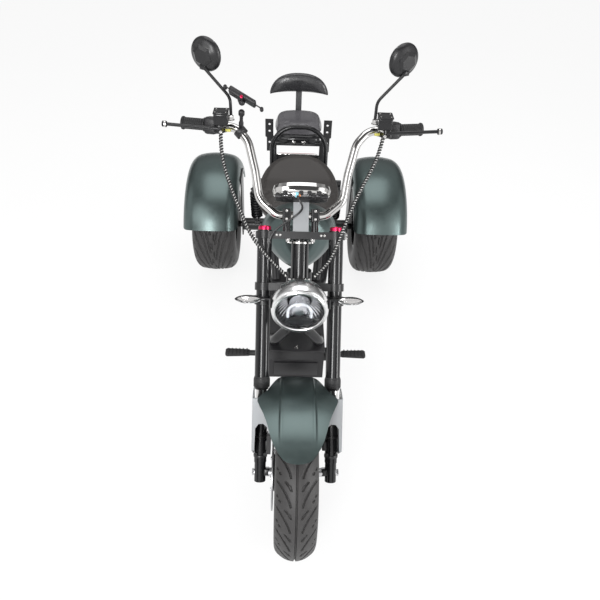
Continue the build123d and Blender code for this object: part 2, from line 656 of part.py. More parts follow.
for name, (tube_r, bend, points) in TUBES.items():
    with BuildPart() as tube_pair:
        for side in (-1, 1) if points[0][0] else (1,):
            with BuildLine() as tube_line:
                FilletPolyline(*(at(side * x, back, up) for x, back, up in points), radius=bend)
            with BuildSketch(end_plane(tube_line.line)):
                Circle(tube_r)
            sweep(path=tube_line.line)
    frame_tubes[name] = tube_pair
with BuildPart() as head_solid:
    with BuildSketch(fork_plane(HEAD_BOTTOM)):
        with Locations((0, HEAD_SET_BACK)):
            Circle(HEAD_TUBE_R)
    extrude(amount=HEAD_TOP - HEAD_BOTTOM)
for name in ("down_tubes", "spine_tube"):
    with frame_tubes[name]:
        add(head_solid.part, mode=Mode.SUBTRACT)
with BuildPart() as battery_box:
    with BuildSketch(across(-BOX_HALF_W, 0, 0)):
        with BuildLine():
            Polyline((BOX_FRONT, BOX_BOTTOM + 40), (BOX_FRONT + 40, BOX_BOTTOM), (BOX_REAR, BOX_BOTTOM),
                     (BOX_REAR, BOX_TOP), (BOX_FRONT + 30, BOX_TOP), (BOX_FRONT, BOX_TOP - 30), close=True)
        make_face()
    extrude(amount=2 * BOX_HALF_W)
save(battery_box, "battery_box")
for name in ("down_tubes", "seat_struts", "rear_arms"):
    with frame_tubes[name]:
        add(battery_box.part, mode=Mode.SUBTRACT)
with frame_tubes["seat_struts"]:
    add(frame_tubes["seat_rails"].part, mode=Mode.SUBTRACT)
with BuildPart() as main_frame:
    for tube_pair in frame_tubes.values():
        add(tube_pair.part)
save(main_frame, "main_frame")

# Folding foot pegs on the box's sides
PEG_BACK = 440.0
PEG_UP = 292.0
PEG_TIP = 252.0
with BuildPart() as foot_pegs:
    for side in (-1, 1):
        with BuildSketch(Plane(origin=at(side * BOX_HALF_W, PEG_BACK, PEG_UP), z_dir=(side, 0, 0))):
            RectangleRounded(34, 44, 8)
        extrude(amount=72)
        with BuildSketch(Plane(origin=at(side * (BOX_HALF_W + 72), PEG_BACK, PEG_UP), x_dir=(0, 1, 0), z_dir=(side, 0, 0))):
            RectangleRounded(28, 12, 4)
        extrude(amount=PEG_TIP - BOX_HALF_W - 72)
save(foot_pegs, "foot_pegs")

# Body shell behind the head, as ellipses across it: back, middle height, half width, half height
SHELL_TABLE = ((480, 748, 46, 62), (522, 732, 104, 110), (592, 724, 128, 118), (SEAT_FRONT - SEAT_FIT, 712, 104, 62))
with BuildPart() as body_shell:
    for back, up, half_w, half_h in SHELL_TABLE:
        with BuildSketch(Plane(origin=at(0, back, up), x_dir=(1, 0, 0), z_dir=(0, -1, 0))):
            Ellipse(half_w, half_h)
    loft()
    add(frame_tubes["spine_tube"].part, mode=Mode.SUBTRACT)
    add(frame_tubes["seat_rails"].part, mode=Mode.SUBTRACT)
    add(frame_tubes["down_tubes"].part, mode=Mode.SUBTRACT)
save(body_shell, "body_shell")

# Driver's seat: a side profile cut to its outline from above
with BuildPart() as front_seat:
    with BuildSketch(across(-SEAT_W, 0, 0)):
        with BuildLine():
            Polyline((SEAT_FRONT, SEAT_UNDER), (SEAT_FRONT, SEAT_UNDER + 30), (SEAT_FRONT + 50, 748),
                     (SEAT_REAR - 110, 760), (SEAT_REAR - 40, 800), (SEAT_REAR, 814), (SEAT_REAR, SEAT_UNDER),
                     close=True)
        make_face()
    extrude(amount=2 * SEAT_W)
    with BuildSketch(Plane.XY.offset(SEAT_UNDER)):
        with Locations((0, FRONT_AXLE_Y + (SEAT_FRONT + SEAT_REAR) / 2)):
            RectangleRounded(SEAT_W, SEAT_REAR - SEAT_FRONT, 0.44 * SEAT_W)
    extrude(amount=200, mode=Mode.INTERSECT)
save(front_seat, "front_seat")

with BuildPart() as seat_pans:
    with BuildSketch(Plane.XY.offset(SEAT_UNDER - SEAT_PAN_T)):
        with Locations((0, FRONT_AXLE_Y + (SEAT_FRONT + SEAT_REAR) / 2)):
            RectangleRounded(SEAT_W - 30, SEAT_REAR - SEAT_FRONT - 30, 0.4 * SEAT_W)
    extrude(amount=SEAT_PAN_T - SEAT_FIT)
    add(frame_tubes["seat_rails"].part, mode=Mode.SUBTRACT)
    add(body_shell.part, mode=Mode.SUBTRACT)

# Hoop behind the driver's seat
HOOP_R = 9.0
with BuildPart() as grab_hoop:
    with BuildLine() as hoop_line:
        FilletPolyline(at(-104, SEAT_REAR, 630), at(-104, SEAT_REAR + 46, 890), at(104, SEAT_REAR + 46, 890),
                       at(104, SEAT_REAR, 630), radius=88)
    with BuildSketch(end_plane(hoop_line.line)):
        Circle(HOOP_R)
    sweep(path=hoop_line.line)
    add(frame_tubes["seat_rails"].part, mode=Mode.SUBTRACT)
save(grab_hoop, "grab_hoop")

# Passenger's seat on its base
with BuildPart() as rear_seat:
    with BuildSketch(Plane.XY.offset(PASSENGER_UNDER)):
        with Locations((0, FRONT_AXLE_Y + (PASSENGER_FRONT + PASSENGER_REAR) / 2)):
            RectangleRounded(PASSENGER_W, PASSENGER_REAR - PASSENGER_FRONT, 0.34 * PASSENGER_W)
    extrude(amount=PASSENGER_TOP - PASSENGER_UNDER)
    fillet(rear_seat.faces().sort_by(Axis.Z)[-1].edges(), 34)
save(rear_seat, "rear_seat")

REAR_PAN_T = 48.0
with seat_pans:
    with BuildSketch(Plane.XY.offset(PASSENGER_UNDER - REAR_PAN_T)):
        with Locations((0, FRONT_AXLE_Y + (PASSENGER_FRONT + PASSENGER_REAR) / 2)):
            RectangleRounded(PASSENGER_W - 20, PASSENGER_REAR - PASSENGER_FRONT - 10, 0.3 * PASSENGER_W)
    extrude(amount=REAR_PAN_T - SEAT_FIT)
save(seat_pans, "seat_pans")

# Plates on the rails, facing forwards, carry the passenger's seat on a cross tube.
PLATE_INNER = 92.0
PLATE_OUTER = 140.0
PLATE_T = 5.0
PLATE_BACK = WHEELBASE - 130.0
PLATE_HOLE_X = 122.0
PLATE_HOLE_R = 5.0
PLATE_HOLES_UP = (810.0, 780.0, 730.0)
CROSS_UP = PASSENGER_UNDER - REAR_PAN_T - 13.0
with BuildPart() as side_plates:
    for side in (-1, 1):
        with BuildSketch(Plane(origin=at(0, PLATE_BACK - PLATE_T / 2, 0), x_dir=(-1, 0, 0), z_dir=(0, 1, 0))):
            with BuildLine():
                Polyline(*((side * x, up) for x, up in (
                    (PLATE_INNER, RAIL_UP), (PLATE_INNER + 26, RAIL_UP), (PLATE_INNER + 26, 690), (PLATE_OUTER - 6, 690),
                    (PLATE_OUTER - 6, 752), (PLATE_OUTER, 756), (PLATE_OUTER, 832), (PLATE_INNER + 14, 832),
                    (PLATE_INNER + 14, 760), (PLATE_INNER, 735))), close=True)
            make_face()
            with Locations(*((side * PLATE_HOLE_X, up) for up in PLATE_HOLES_UP)):
                Circle(PLATE_HOLE_R, mode=Mode.SUBTRACT)
        extrude(amount=PLATE_T)
    with BuildSketch(Plane(origin=at(-PLATE_INNER - 6, PLATE_BACK, CROSS_UP), z_dir=(1, 0, 0))):
        Circle(12.9)
    extrude(amount=2 * PLATE_INNER + 12)
    add(frame_tubes["seat_rails"].part, mode=Mode.SUBTRACT)
save(side_plates, "side_plates")

# Backrest: a flat post behind the passenger's seat and a half-moon pad
POST_W = 26.0
POST_T = 8.0
POST_BACK = BACKREST_BACK + SEAT_FIT
foot_up = PASSENGER_UNDER - REAR_PAN_T - SEAT_FIT
with BuildPart() as backrest_post:
    with BuildSketch(across(-POST_W / 2, 0, 0)):
        with BuildLine():
            Polyline((WHEELBASE - 102, foot_up), (WHEELBASE - 102, foot_up - POST_T), (POST_BACK, foot_up - POST_T),
                     (POST_BACK + POST_T, foot_up), (POST_BACK + POST_T, 940), (POST_BACK, 940),
                     (POST_BACK, foot_up), close=True)
        make_face()
    extrude(amount=POST_W)
save(backrest_post, "backrest_post")

BACKREST_T = 34.0
with BuildPart() as backrest_pad:
    with BuildSketch(Plane(origin=at(0, BACKREST_BACK, 0), x_dir=(1, 0, 0), z_dir=(0, -1, 0))):
        with BuildLine():
            half_w = BACKREST_W / 2
            Line((-half_w + 14, 888), (half_w - 14, 888))
            ThreePointArc((half_w - 14, 888), (half_w, 900), (half_w - 16, 930))
            ThreePointArc((half_w - 16, 930), (0, BACKREST_TOP), (16 - half_w, 930))
            ThreePointArc((16 - half_w, 930), (-half_w, 900), (14 - half_w, 888))
        make_face()
    extrude(amount=BACKREST_T)
save(backrest_pad, "backrest_pad")

# Rear axle housing with its differential in the middle
HOUSING_R = 30.0
GUARD_INNER_X = HALF_TRACK - GUARD_HALF_W
HOUSING_HALF = GUARD_INNER_X - SEAT_FIT
DIFF_R = 72.0
DIFF_HALF = 60.0
SHAFT_R = 15.0
SHAFT_IN = 190.0
with BuildPart() as rear_axle:
    with BuildSketch(Plane(origin=REAR_AXLE - Vector(HOUSING_HALF, 0, 0), z_dir=(1, 0, 0))):
        Circle(HOUSING_R)
    extrude(amount=2 * HOUSING_HALF)
    with BuildSketch(Plane(origin=REAR_AXLE - Vector(DIFF_HALF, 0, 0), z_dir=(1, 0, 0))):
        Circle(DIFF_R)
    extrude(amount=2 * DIFF_HALF)
    for side in (-1, 1):
        with BuildSketch(Plane(origin=at(side * ARM_X, WHEELBASE - 40, ARM_UP), z_dir=(0, 1, 0))):
            Circle(ARM_R - 1)
        extrude(amount=40)
        with BuildSketch(Plane(origin=REAR_AXLE + Vector(side * SHAFT_IN, 0, 0), z_dir=(side, 0, 0))):
            Circle(SHAFT_R + RUN_FIT)
        extrude(amount=HOUSING_HALF, mode=Mode.SUBTRACT)

MOTOR_R = 70.0
MOTOR_LENGTH = 165.0
with rear_axle:
    with BuildSketch(Plane(origin=REAR_AXLE - Vector(0, DIFF_R - 2, 0), z_dir=(0, -1, 0))):
        Circle(MOTOR_R)
    extrude(amount=MOTOR_LENGTH)
save(rear_axle, "rear_axle")

# Rear wheels
REAR_BEAD_HALF = 84.0
REAR_BEAD_H = 12.0
REAR_TREAD_HALF = 70.0
for side, word in ((-1, "left"), (1, "right")):
    centre = REAR_AXLE + Vector(side * HALF_TRACK, 0, 0)
    half_w = REAR_TYRE_W / 2
    with BuildPart() as rear_tyre:
        with BuildSketch(wheel_plane(centre)):
            with BuildLine():
                bead_top = REAR_BEAD_R + REAR_BEAD_H
                Line((-REAR_BEAD_HALF, REAR_BEAD_R), (REAR_BEAD_HALF, REAR_BEAD_R))
                Line((REAR_BEAD_HALF, REAR_BEAD_R), (REAR_BEAD_HALF, bead_top))
                ThreePointArc((REAR_BEAD_HALF, bead_top), (half_w - 5, 135), (half_w, 168))
                ThreePointArc((half_w, 168), (half_w - 9, 200), (REAR_TREAD_HALF, 221))
                ThreePointArc((REAR_TREAD_HALF, 221), (0, REAR_TYRE_R), (-REAR_TREAD_HALF, 221))
                ThreePointArc((-REAR_TREAD_HALF, 221), (9 - half_w, 200), (-half_w, 168))
                ThreePointArc((-half_w, 168), (5 - half_w, 135), (-REAR_BEAD_HALF, bead_top))
                Line((-REAR_BEAD_HALF, bead_top), (-REAR_BEAD_HALF, REAR_BEAD_R))
            make_face()
        revolve(axis=AXLE_LINE_REAR)
    save(rear_tyre, f"rear_tyre_{word}")

    with BuildPart() as rear_rim:
        with BuildSketch(wheel_plane(centre)):
            with BuildLine():
                seat_r = REAR_BEAD_R - SEAT_FIT
                edge = REAR_BEAD_HALF + SEAT_FIT
                Polyline(
                    (-edge - 4, bead_top - 3), (-edge, bead_top - 3), (-edge, seat_r), (edge, seat_r),
                    (edge, bead_top - 3), (edge + 4, bead_top - 3), (edge + 4, seat_r - 6),
                    (-edge - 4, seat_r - 6), close=True,
                )
            make_face()
        revolve(axis=AXLE_LINE_REAR)
        with BuildSketch(Plane(origin=centre + Vector(side * 20, 0, 0), z_dir=(side, 0, 0))):
            Circle(seat_r - 4)
            with PolarLocations(66, 6):
                Circle(13, mode=Mode.SUBTRACT)
        extrude(amount=8)
        with BuildSketch(Plane(origin=centre - Vector(side * 60, 0, 0), z_dir=(side, 0, 0))):
            Circle(32)
        extrude(amount=104)
        with BuildSketch(Plane(origin=REAR_AXLE + Vector(side * (SHAFT_IN + 4), 0, 0), z_dir=(side, 0, 0))):
            Circle(SHAFT_R)
        extrude(amount=HALF_TRACK - SHAFT_IN)
    save(rear_rim, f"rear_rim_{word}")

    # Mudguard over this wheel
    with BuildPart() as rear_fender:
        with BuildSketch(wheel_plane(centre)):
            with BuildLine():
                outer = ((GUARD_HALF_W, GUARD_HIP_R), (GUARD_BEND_X, GUARD_BEND_R), (GUARD_CROWN_X, GUARD_CROWN_R))
                inner = tuple((x - cut, r - GUARD_WALL) for (x, r), cut in zip(outer, (GUARD_WALL, 3, 1)))
                for (hip, bend, crown), top_r in ((outer, GUARD_R), (inner, GUARD_R - GUARD_WALL)):
                    Line((-hip[0], GUARD_SIDE_R), (-hip[0], hip[1]))
                    ThreePointArc((-hip[0], hip[1]), (-bend[0], bend[1]), (-crown[0], crown[1]))
                    ThreePointArc((-crown[0], crown[1]), (0, top_r), crown)
                    ThreePointArc(crown, bend, hip)
                    Line(hip, (hip[0], GUARD_SIDE_R))
                for end in (-1, 1):
                    Line((end * GUARD_HALF_W, GUARD_SIDE_R), (end * (GUARD_HALF_W - GUARD_WALL), GUARD_SIDE_R))
            make_face()
        # The profile stands on the upper side, and half of the guard is turned from it, with its twin.
        revolve(axis=AXLE_LINE_REAR, revolution_arc=90 - GUARD_LIP_DEG)
        add(rear_fender.part.rotate(AXLE_LINE_REAR, GUARD_LIP_DEG - 90))
    save(rear_fender, f"rear_fender_{word}")

# A plate on each end of the axle housing carries a mudguard.
FOOT_T = 6.0
FOOT_BOTTOM = REAR_TYRE_R - 42.0
FOOT_TOP = REAR_TYRE_R + GUARD_SIDE_R + 18.0
with BuildPart() as fender_brackets:
    for side in (-1, 1):
        low_x = side * (HOUSING_HALF - FOOT_T / 2) - FOOT_T / 2
        with BuildSketch(across(low_x, 0, 0)):
            with BuildLine():
                Polyline((WHEELBASE - 36, FOOT_BOTTOM), (WHEELBASE + 36, FOOT_BOTTOM), (WHEELBASE + 58, FOOT_TOP),
                         (WHEELBASE - 58, FOOT_TOP), close=True)
            make_face()
        extrude(amount=FOOT_T)
    add(rear_axle.part, mode=Mode.SUBTRACT)
    for side in (-1, 1):
        with BuildSketch(Plane(origin=REAR_AXLE + Vector(side * SHAFT_IN, 0, 0), z_dir=(side, 0, 0))):
            Circle(SHAFT_R + RUN_FIT)
        extrude(amount=HOUSING_HALF, mode=Mode.SUBTRACT)
save(fender_brackets, "fender_brackets")

# Springs between the axle housing and a cross bar under the rails
CROSS_R = 12.0
SHOCK_X = 186.0
SHOCK_R = 20.0
SHOCK_ROD_R = 7.0
SHOCK_BAR_UP = RAIL_UP - 24.0
SHOCK_HEAD = at(SHOCK_X, PLATE_BACK, SHOCK_BAR_UP - 2 * CROSS_R)
SHOCK_FOOT = at(SHOCK_X, WHEELBASE - 28, REAR_TYRE_R + 31)
with BuildPart() as shock_bar:
    with BuildSketch(Plane(origin=at(-SHOCK_X - 12, PLATE_BACK, SHOCK_BAR_UP), z_dir=(1, 0, 0))):
        Circle(CROSS_R)
    extrude(amount=2 * SHOCK_X + 24)
    add(frame_tubes["seat_rails"].part, mode=Mode.SUBTRACT)
    add(side_plates.part, mode=Mode.SUBTRACT)
save(shock_bar, "shock_bar")

with BuildPart() as rear_shocks:
    for side in (-1, 1):
        head = Vector(side * SHOCK_HEAD.X, SHOCK_HEAD.Y, SHOCK_HEAD.Z)
        foot = Vector(side * SHOCK_FOOT.X, SHOCK_FOOT.Y, SHOCK_FOOT.Z)
        along = (head - foot).normalized()
        with BuildSketch(Plane(origin=foot, z_dir=along)):
            Circle(SHOCK_ROD_R)
        extrude(amount=(head - foot).length)
        with BuildSketch(Plane(origin=foot + along * 50, z_dir=along)):
            Circle(SHOCK_R)
        extrude(amount=190)
        for eye in (head, foot):
            with BuildSketch(Plane(origin=eye - Vector(12, 0, 0), z_dir=(1, 0, 0))):
                Circle(12)
            extrude(amount=24)
    add(shock_bar.part, mode=Mode.SUBTRACT)
    add(rear_axle.part, mode=Mode.SUBTRACT)
save(rear_shocks, "rear_shocks")

# Tail lamp and number plate on the ends of the rails
with BuildPart() as tail_bar:
    with Locations(Plane(origin=at(0, TAIL_BACK + 3, RAIL_UP), z_dir=(0, 0, 1))):
        Box(250, 6, 40)
    with Locations(Plane(origin=at(0, TAIL_BACK + 3, RAIL_UP - 70), z_dir=(0, 0, 1))):
        Box(60, 6, 110)
    with Locations(Plane(origin=at(0, TAIL_BACK + 3, RAIL_UP - 110), z_dir=(0, 0, 1))):
        Box(200, 6, 60)
    with Locations(*(Plane(origin=at(x, TAIL_BACK + 3, RAIL_UP - 110), z_dir=(0, 1, 0)) for x in (-70, 70))):
        Hole(PLATE_HOLE_R - 2)
    add(frame_tubes["seat_rails"].part, mode=Mode.SUBTRACT)
save(tail_bar, "tail_bar")

with BuildPart() as tail_lamp:
    with Locations(Plane(origin=at(0, TAIL_BACK + 6 + SEAT_FIT + 12, RAIL_UP), z_dir=(0, 0, 1))):
        Box(180, 24, 34)
    fillet(tail_lamp.edges().filter_by(Axis.Y), 10)
save(tail_lamp, "tail_lamp")

# Phone holder on the left of the bar: a clamp round the bar, a stem, and a plate with two jaws
with BuildPart() as phone_holder:
    holder = on_fork(-174, 1090, 80)
    plate_plane = Plane(origin=holder, x_dir=Vector(0.866, -0.298, -0.401), z_dir=Vector(0.5, 0.55, 0.67))
    with BuildSketch(plate_plane):
        RectangleRounded(84, 46, 8)
    extrude(amount=8)
    with BuildSketch(plate_plane):
        with Locations((-46, 0), (46, 0)):
            Rectangle(10, 30)
    extrude(amount=22)
    ring_plane = Plane(origin=on_fork(-182, 1010, 0), z_dir=on_fork(-196, 1025, -2) - on_fork(-160, 985, 0))
    with BuildSketch(Plane(origin=ring_plane.origin - ring_plane.z_dir * 9, z_dir=ring_plane.z_dir)):
        Circle(BAR_R + 6)
    extrude(amount=18)
    with BuildSketch(Plane(origin=ring_plane.origin, z_dir=holder - ring_plane.origin)):
        Circle(6)
    extrude(amount=(holder - ring_plane.origin).length)
    add(handlebar.part, mode=Mode.SUBTRACT)
save(phone_holder, "phone_holder")


def bend_radii(points):
    """The largest radii for a hose: 0.45 of the shorter run, over the tangent of half the turn."""
    radii = []
    for before, here, after in zip(points, points[1:], points[2:]):
        turn = radians((here - before).get_angle(after - here))
        radii.append(0.45 * min((here - before).length, (after - here).length) / tan(turn / 2))
    return radii


# Brake hoses from the master cylinders to behind the headlight: across, along the fork, ahead of it
HOSE_R = 5.0
HOSE_TABLES = (
    ((-238, 1006, 24), (-237, 960, 27), (-225, 903, 36), (-202, 837, 42), (-174, 774, 47), (-148, 715, 50),
     (-112, 666, 52), (-76, 628, 48), (-40, 592, 44)),
    ((236, 1006, 24), (224, 956, 27), (202, 905, 34), (172, 849, 40), (144, 788, 45), (122, 730, 50),
     (98, 664, 52), (74, 622, 50), (42, 592, 46)),
)
with BuildPart() as control_hoses:
    for table in HOSE_TABLES:
        hose_points = [on_fork(x, along, ahead) for x, along, ahead in table]
        print("Hose bend radii in mm:", [round(radius, 1) for radius in bend_radii(hose_points)])
        with BuildLine() as hose_line:
            FilletPolyline(*hose_points, radius=bend_radii(hose_points))
        with BuildSketch(end_plane(hose_line.line)):
            Circle(HOSE_R)
        sweep(path=hose_line.line)
    add(brake_masters.part, mode=Mode.SUBTRACT)
save(control_hoses, "control_hoses")
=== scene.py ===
"""Dresses the electric tricycle with its tyres, guards, seats, lamps and controls, in the photograph's view."""

import logging
import math
from dataclasses import dataclass, field
from enum import Enum
from typing import Callable, Sequence

import bmesh
import bpy
import numpy as np
from mathutils import Matrix, Vector


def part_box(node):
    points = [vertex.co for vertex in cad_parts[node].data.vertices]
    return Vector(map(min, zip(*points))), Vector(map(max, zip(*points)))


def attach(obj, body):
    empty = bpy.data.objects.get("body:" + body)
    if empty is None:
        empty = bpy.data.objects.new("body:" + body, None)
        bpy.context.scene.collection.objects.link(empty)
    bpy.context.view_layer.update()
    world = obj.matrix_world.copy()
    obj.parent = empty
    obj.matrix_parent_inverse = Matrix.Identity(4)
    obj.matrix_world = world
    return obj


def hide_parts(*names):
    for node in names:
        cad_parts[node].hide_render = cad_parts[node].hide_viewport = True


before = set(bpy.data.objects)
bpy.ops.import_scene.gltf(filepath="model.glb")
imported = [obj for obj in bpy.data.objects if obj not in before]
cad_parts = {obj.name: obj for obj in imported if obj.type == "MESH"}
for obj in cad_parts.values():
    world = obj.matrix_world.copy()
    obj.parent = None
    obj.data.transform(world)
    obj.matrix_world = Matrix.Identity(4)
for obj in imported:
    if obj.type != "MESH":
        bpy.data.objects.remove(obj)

log = logging.getLogger("tricycle")

# All sizes are in millimetres until a piece is kept, which brings it to metres.
TO_METRES = 0.001
FRONT_TYRE_R = 238.0
RAKE = math.radians(35.0)
FORK_DIR = Vector((0, math.sin(RAKE), math.cos(RAKE)))
FORK_AHEAD = Vector((0, -math.cos(RAKE), math.sin(RAKE)))
_TYRE_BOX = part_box("front_tyre")
AXLE_Y = 500.0 * (_TYRE_BOX[0][1] + _TYRE_BOX[1][1])
WHEELBASE = 1392.0
HALF_TRACK = 383.0
REAR_TYRE_R = 229.0
FORK_HALF = 106.0
SIDES = (-1, 1)
UP = Vector((0, 0, 1))
TO_MINUS_Y = Matrix.Rotation(math.pi / 2, 4, "X")
TO_PLUS_Y = Matrix.Rotation(-math.pi / 2, 4, "X")
Path = Sequence[Vector]


def at(x: float, back: float, up: float) -> Vector:
    """A point given by its distance behind the front axle and its height."""
    return Vector((x, AXLE_Y + back, up))


def on_fork(x: float, along: float, ahead: float = 0.0) -> Vector:
    """A point given along the fork from the front axle, and ahead of the fork's plane."""
    return Vector((x, AXLE_Y, FRONT_TYRE_R)) + FORK_DIR * along + FORK_AHEAD * ahead


def place(origin: Vector, z: Vector, x: Vector = Vector((1, 0, 0))) -> Matrix:
    """A placing matrix.

    Args:
        origin: where local zero goes.
        z: the direction of the local z axis.
        x: a direction near the local x axis.

    Returns:
        The matrix from local to object coordinates.
    """
    z = z.normalized()
    if abs(z.dot(x.normalized())) > 0.98:
        x = Vector((0, 1, 0))
    y = z.cross(x).normalized()
    return Matrix.Translation(origin) @ Matrix((y.cross(z), y, z)).transposed().to_4x4()


def shifted(where: Matrix, x: float, y: float, z: float) -> Matrix:
    """A placing matrix moved along its own axes."""
    return where @ Matrix.Translation((x, y, z))


def ring_points(count: int, radius: float, start: float = 0.0) -> list[tuple[float, float]]:
    """Evenly spaced points on a circle."""
    turns = [start + math.tau * k / count for k in range(count)]
    return [(radius * math.cos(turn), radius * math.sin(turn)) for turn in turns]


def deselect() -> None:
    """Leaves edit mode and selects nothing."""
    if bpy.context.object and bpy.context.object.mode != "OBJECT":
        bpy.ops.object.mode_set(mode="OBJECT")
    bpy.ops.object.select_all(action="DESELECT")


def settle(piece: bpy.types.Object, matrix: Matrix) -> bpy.types.Object:
    """Puts a new mesh in place inside its own data and leaves its object at the origin."""
    if piece.mode != "OBJECT":
        bpy.ops.object.mode_set(mode="OBJECT")
    piece.data.transform(matrix @ piece.matrix_world)
    piece.matrix_world = Matrix.Identity(4)
    return piece


def tidy_faces(piece: bpy.types.Object, gap: float = 0.02) -> bpy.types.Object:
    """Merges doubled points and turns the faces outwards."""
    deselect()
    piece.select_set(True)
    bpy.context.view_layer.objects.active = piece
    bpy.ops.object.mode_set(mode="EDIT")
    bpy.ops.mesh.select_all(action="SELECT")
    bpy.ops.mesh.remove_doubles(threshold=gap)
    bpy.ops.mesh.normals_make_consistent(inside=False)
    bpy.ops.object.mode_set(mode="OBJECT")
    return piece


def apply_all(piece: bpy.types.Object) -> None:
    """Applies the modifiers of a piece in their order."""
    deselect()
    piece.select_set(True)
    bpy.context.view_layer.objects.active = piece
    for modifier in list(piece.modifiers):
        bpy.ops.object.modifier_apply(modifier=modifier.name)


def block(size: tuple[float, float, float], where: Matrix, bevel: float = 2.0,
          segments: int = 2) -> bpy.types.Object:
    """A block with its edges rounded.

    Args:
        size: its three sizes.
        where: the placing matrix of its middle.
        bevel: the width of the rounding.
        segments: the steps of the rounding.

    Returns:
        The new mesh object.
    """
    deselect()
    bpy.ops.mesh.primitive_cube_add(size=1.0)
    piece = bpy.context.object
    bpy.ops.object.mode_set(mode="EDIT")
    bpy.ops.transform.resize(value=size)
    if bevel:
        bpy.ops.mesh.bevel(offset=bevel, segments=segments, affect="EDGES")
    return settle(piece, where)


def rod(radius: float, length: float, where: Matrix, bevel: float = 1.0, sides: int = 32) -> bpy.types.Object:
    """A round bar from the local origin along +z, with its rims rounded."""
    deselect()
    bpy.ops.mesh.primitive_cylinder_add(vertices=sides, radius=radius, depth=length,
                                        location=(0, 0, length / 2))
    piece = bpy.context.object
    if bevel:
        bpy.ops.object.mode_set(mode="EDIT")
        bpy.ops.mesh.select_all(action="DESELECT")
        bpy.ops.object.mode_set(mode="OBJECT")
        for face in piece.data.polygons:
            face.select = len(face.vertices) > 4
        bpy.ops.object.mode_set(mode="EDIT")
        bpy.ops.mesh.bevel(offset=bevel, segments=2, affect="EDGES")
    return settle(piece, where)


def ball(radius: float, where: Matrix, stretch: tuple[float, float, float] = (1, 1, 1)) -> bpy.types.Object:
    """A ball, stretched along its local axes."""
    deselect()
    bpy.ops.mesh.primitive_uv_sphere_add(segments=32, ring_count=16, radius=radius)
    piece = bpy.context.object
    bpy.ops.object.mode_set(mode="EDIT")
    bpy.ops.transform.resize(value=stretch)
    return settle(piece, where)


def lathe(profile: Sequence[tuple[float, float]], where: Matrix, steps: int = 48) -> bpy.types.Object:
    """A profile spun about the local z axis.

    Args:
        profile: pairs of radius and height, from one end to the other.
        where: the placing matrix.
        steps: how many steps make a full turn.

    Returns:
        The new mesh object, with its doubles merged.
    """
    deselect()
    bpy.ops.mesh.primitive_plane_add(size=1.0)
    piece = bpy.context.object
    bpy.ops.object.mode_set(mode="EDIT")
    bpy.ops.mesh.select_all(action="SELECT")
    bpy.ops.mesh.merge(type="CENTER")
    first = Vector((profile[0][0], 0, profile[0][1]))
    bpy.ops.transform.translate(value=first)
    for (r0, z0), (r1, z1) in zip(profile, profile[1:]):
        bpy.ops.mesh.extrude_region_move(TRANSFORM_OT_translate={"value": (r1 - r0, 0, z1 - z0)})
    bpy.ops.mesh.select_all(action="SELECT")
    bpy.ops.mesh.spin(steps=steps, angle=math.tau, center=(0, 0, 0), axis=(0, 0, 1))
    return tidy_faces(settle(piece, where))


def cap_bolt(origin: Vector, outwards: Vector, radius: float = 5.0, height: float = 5.0) -> bpy.types.Object:
    """A round bolt head with a round socket, standing on its origin."""
    r, h = radius, height
    head = lathe([(0, 0), (r, 0), (r, h * 0.8), (r * 0.86, h), (r * 0.5, h), (r * 0.45, h * 0.5), (0, h * 0.5)],
                 place(origin, outwards), 18)
    return head


def hex_nut(origin: Vector, outwards: Vector, radius: float = 7.0, height: float = 6.0) -> bpy.types.Object:
    """A hexagonal nut on a washer, with the end of its stud."""
    where = place(origin, outwards)
    nut = lathe([(0, 0), (radius, 0), (radius, height * 0.9), (radius * 0.9, height), (radius * 0.5, height)],
                where, 6)
    washer = rod(radius * 1.3, 1.4, where, 0.4, 20)
    stud = rod(radius * 0.5, height * 1.5, where, 0.6, 12)
    return join([nut, washer, stud])


def tube(points: Path, radius: float, sides: int = 3, order: int = 2) -> bpy.types.Object:
    """A tube along points: straight runs for order 2 and a smooth line for order 3.

    Args:
        points: the path's points.
        radius: the tube's radius.
        sides: the bevel resolution of its section.
        order: the order of the path's spline.

    Returns:
        The new mesh object.
    """
    deselect()
    bpy.ops.curve.primitive_nurbs_path_add()
    piece = bpy.context.object
    line = piece.data
    line.splines.clear()
    spline = line.splines.new("POLY" if order == 2 else "NURBS")
    spline.points.add(len(points) - 1)
    for slot_point, point in zip(spline.points, points):
        slot_point.co = (*point, 1.0)
    if order > 2:
        spline.order_u = order
        spline.use_endpoint_u = True
        spline.resolution_u = 8
    line.dimensions = "3D"
    line.bevel_depth = radius
    line.bevel_resolution = sides
    line.use_fill_caps = True
    bpy.ops.object.convert(target="MESH")
    return tidy_faces(settle(bpy.context.object, Matrix.Identity(4)))


def route(points: Path, order: int = 3) -> list[Vector]:
    """The points of a smooth line through a route's control points."""
    line = bpy.data.curves.new("route", "CURVE")
    line.dimensions = "3D"
    spline = line.splines.new("NURBS")
    spline.points.add(len(points) - 1)
    for slot_point, point in zip(spline.points, points):
        slot_point.co = (*point, 1.0)
    spline.order_u = order
    spline.use_endpoint_u = True
    spline.resolution_u = 16
    holder = bpy.data.objects.new("route", line)
    bpy.context.collection.objects.link(holder)
    mesh = bpy.data.meshes.new_from_object(holder)
    found = [v.co.copy() for v in mesh.vertices]
    bpy.data.objects.remove(holder)
    return found


def rounded(points: Path, radius: float, steps: int = 6) -> list[Vector]:
    """A path whose corners are rounded.

    Args:
        points: the corners of the path.
        radius: how far from each corner its rounding starts.
        steps: the steps of each rounding.

    Returns:
        The points of the rounded path.
    """
    found = [points[0].copy()]
    for before, here, after in zip(points, points[1:], points[2:]):
        into = (before - here).normalized() * min(radius, (before - here).length * 0.48)
        out = (after - here).normalized() * min(radius, (after - here).length * 0.48)
        for step in range(steps + 1):
            t = step / steps
            found.append(here + into * (1 - t) ** 2 + out * t ** 2)
    return found + [points[-1].copy()]


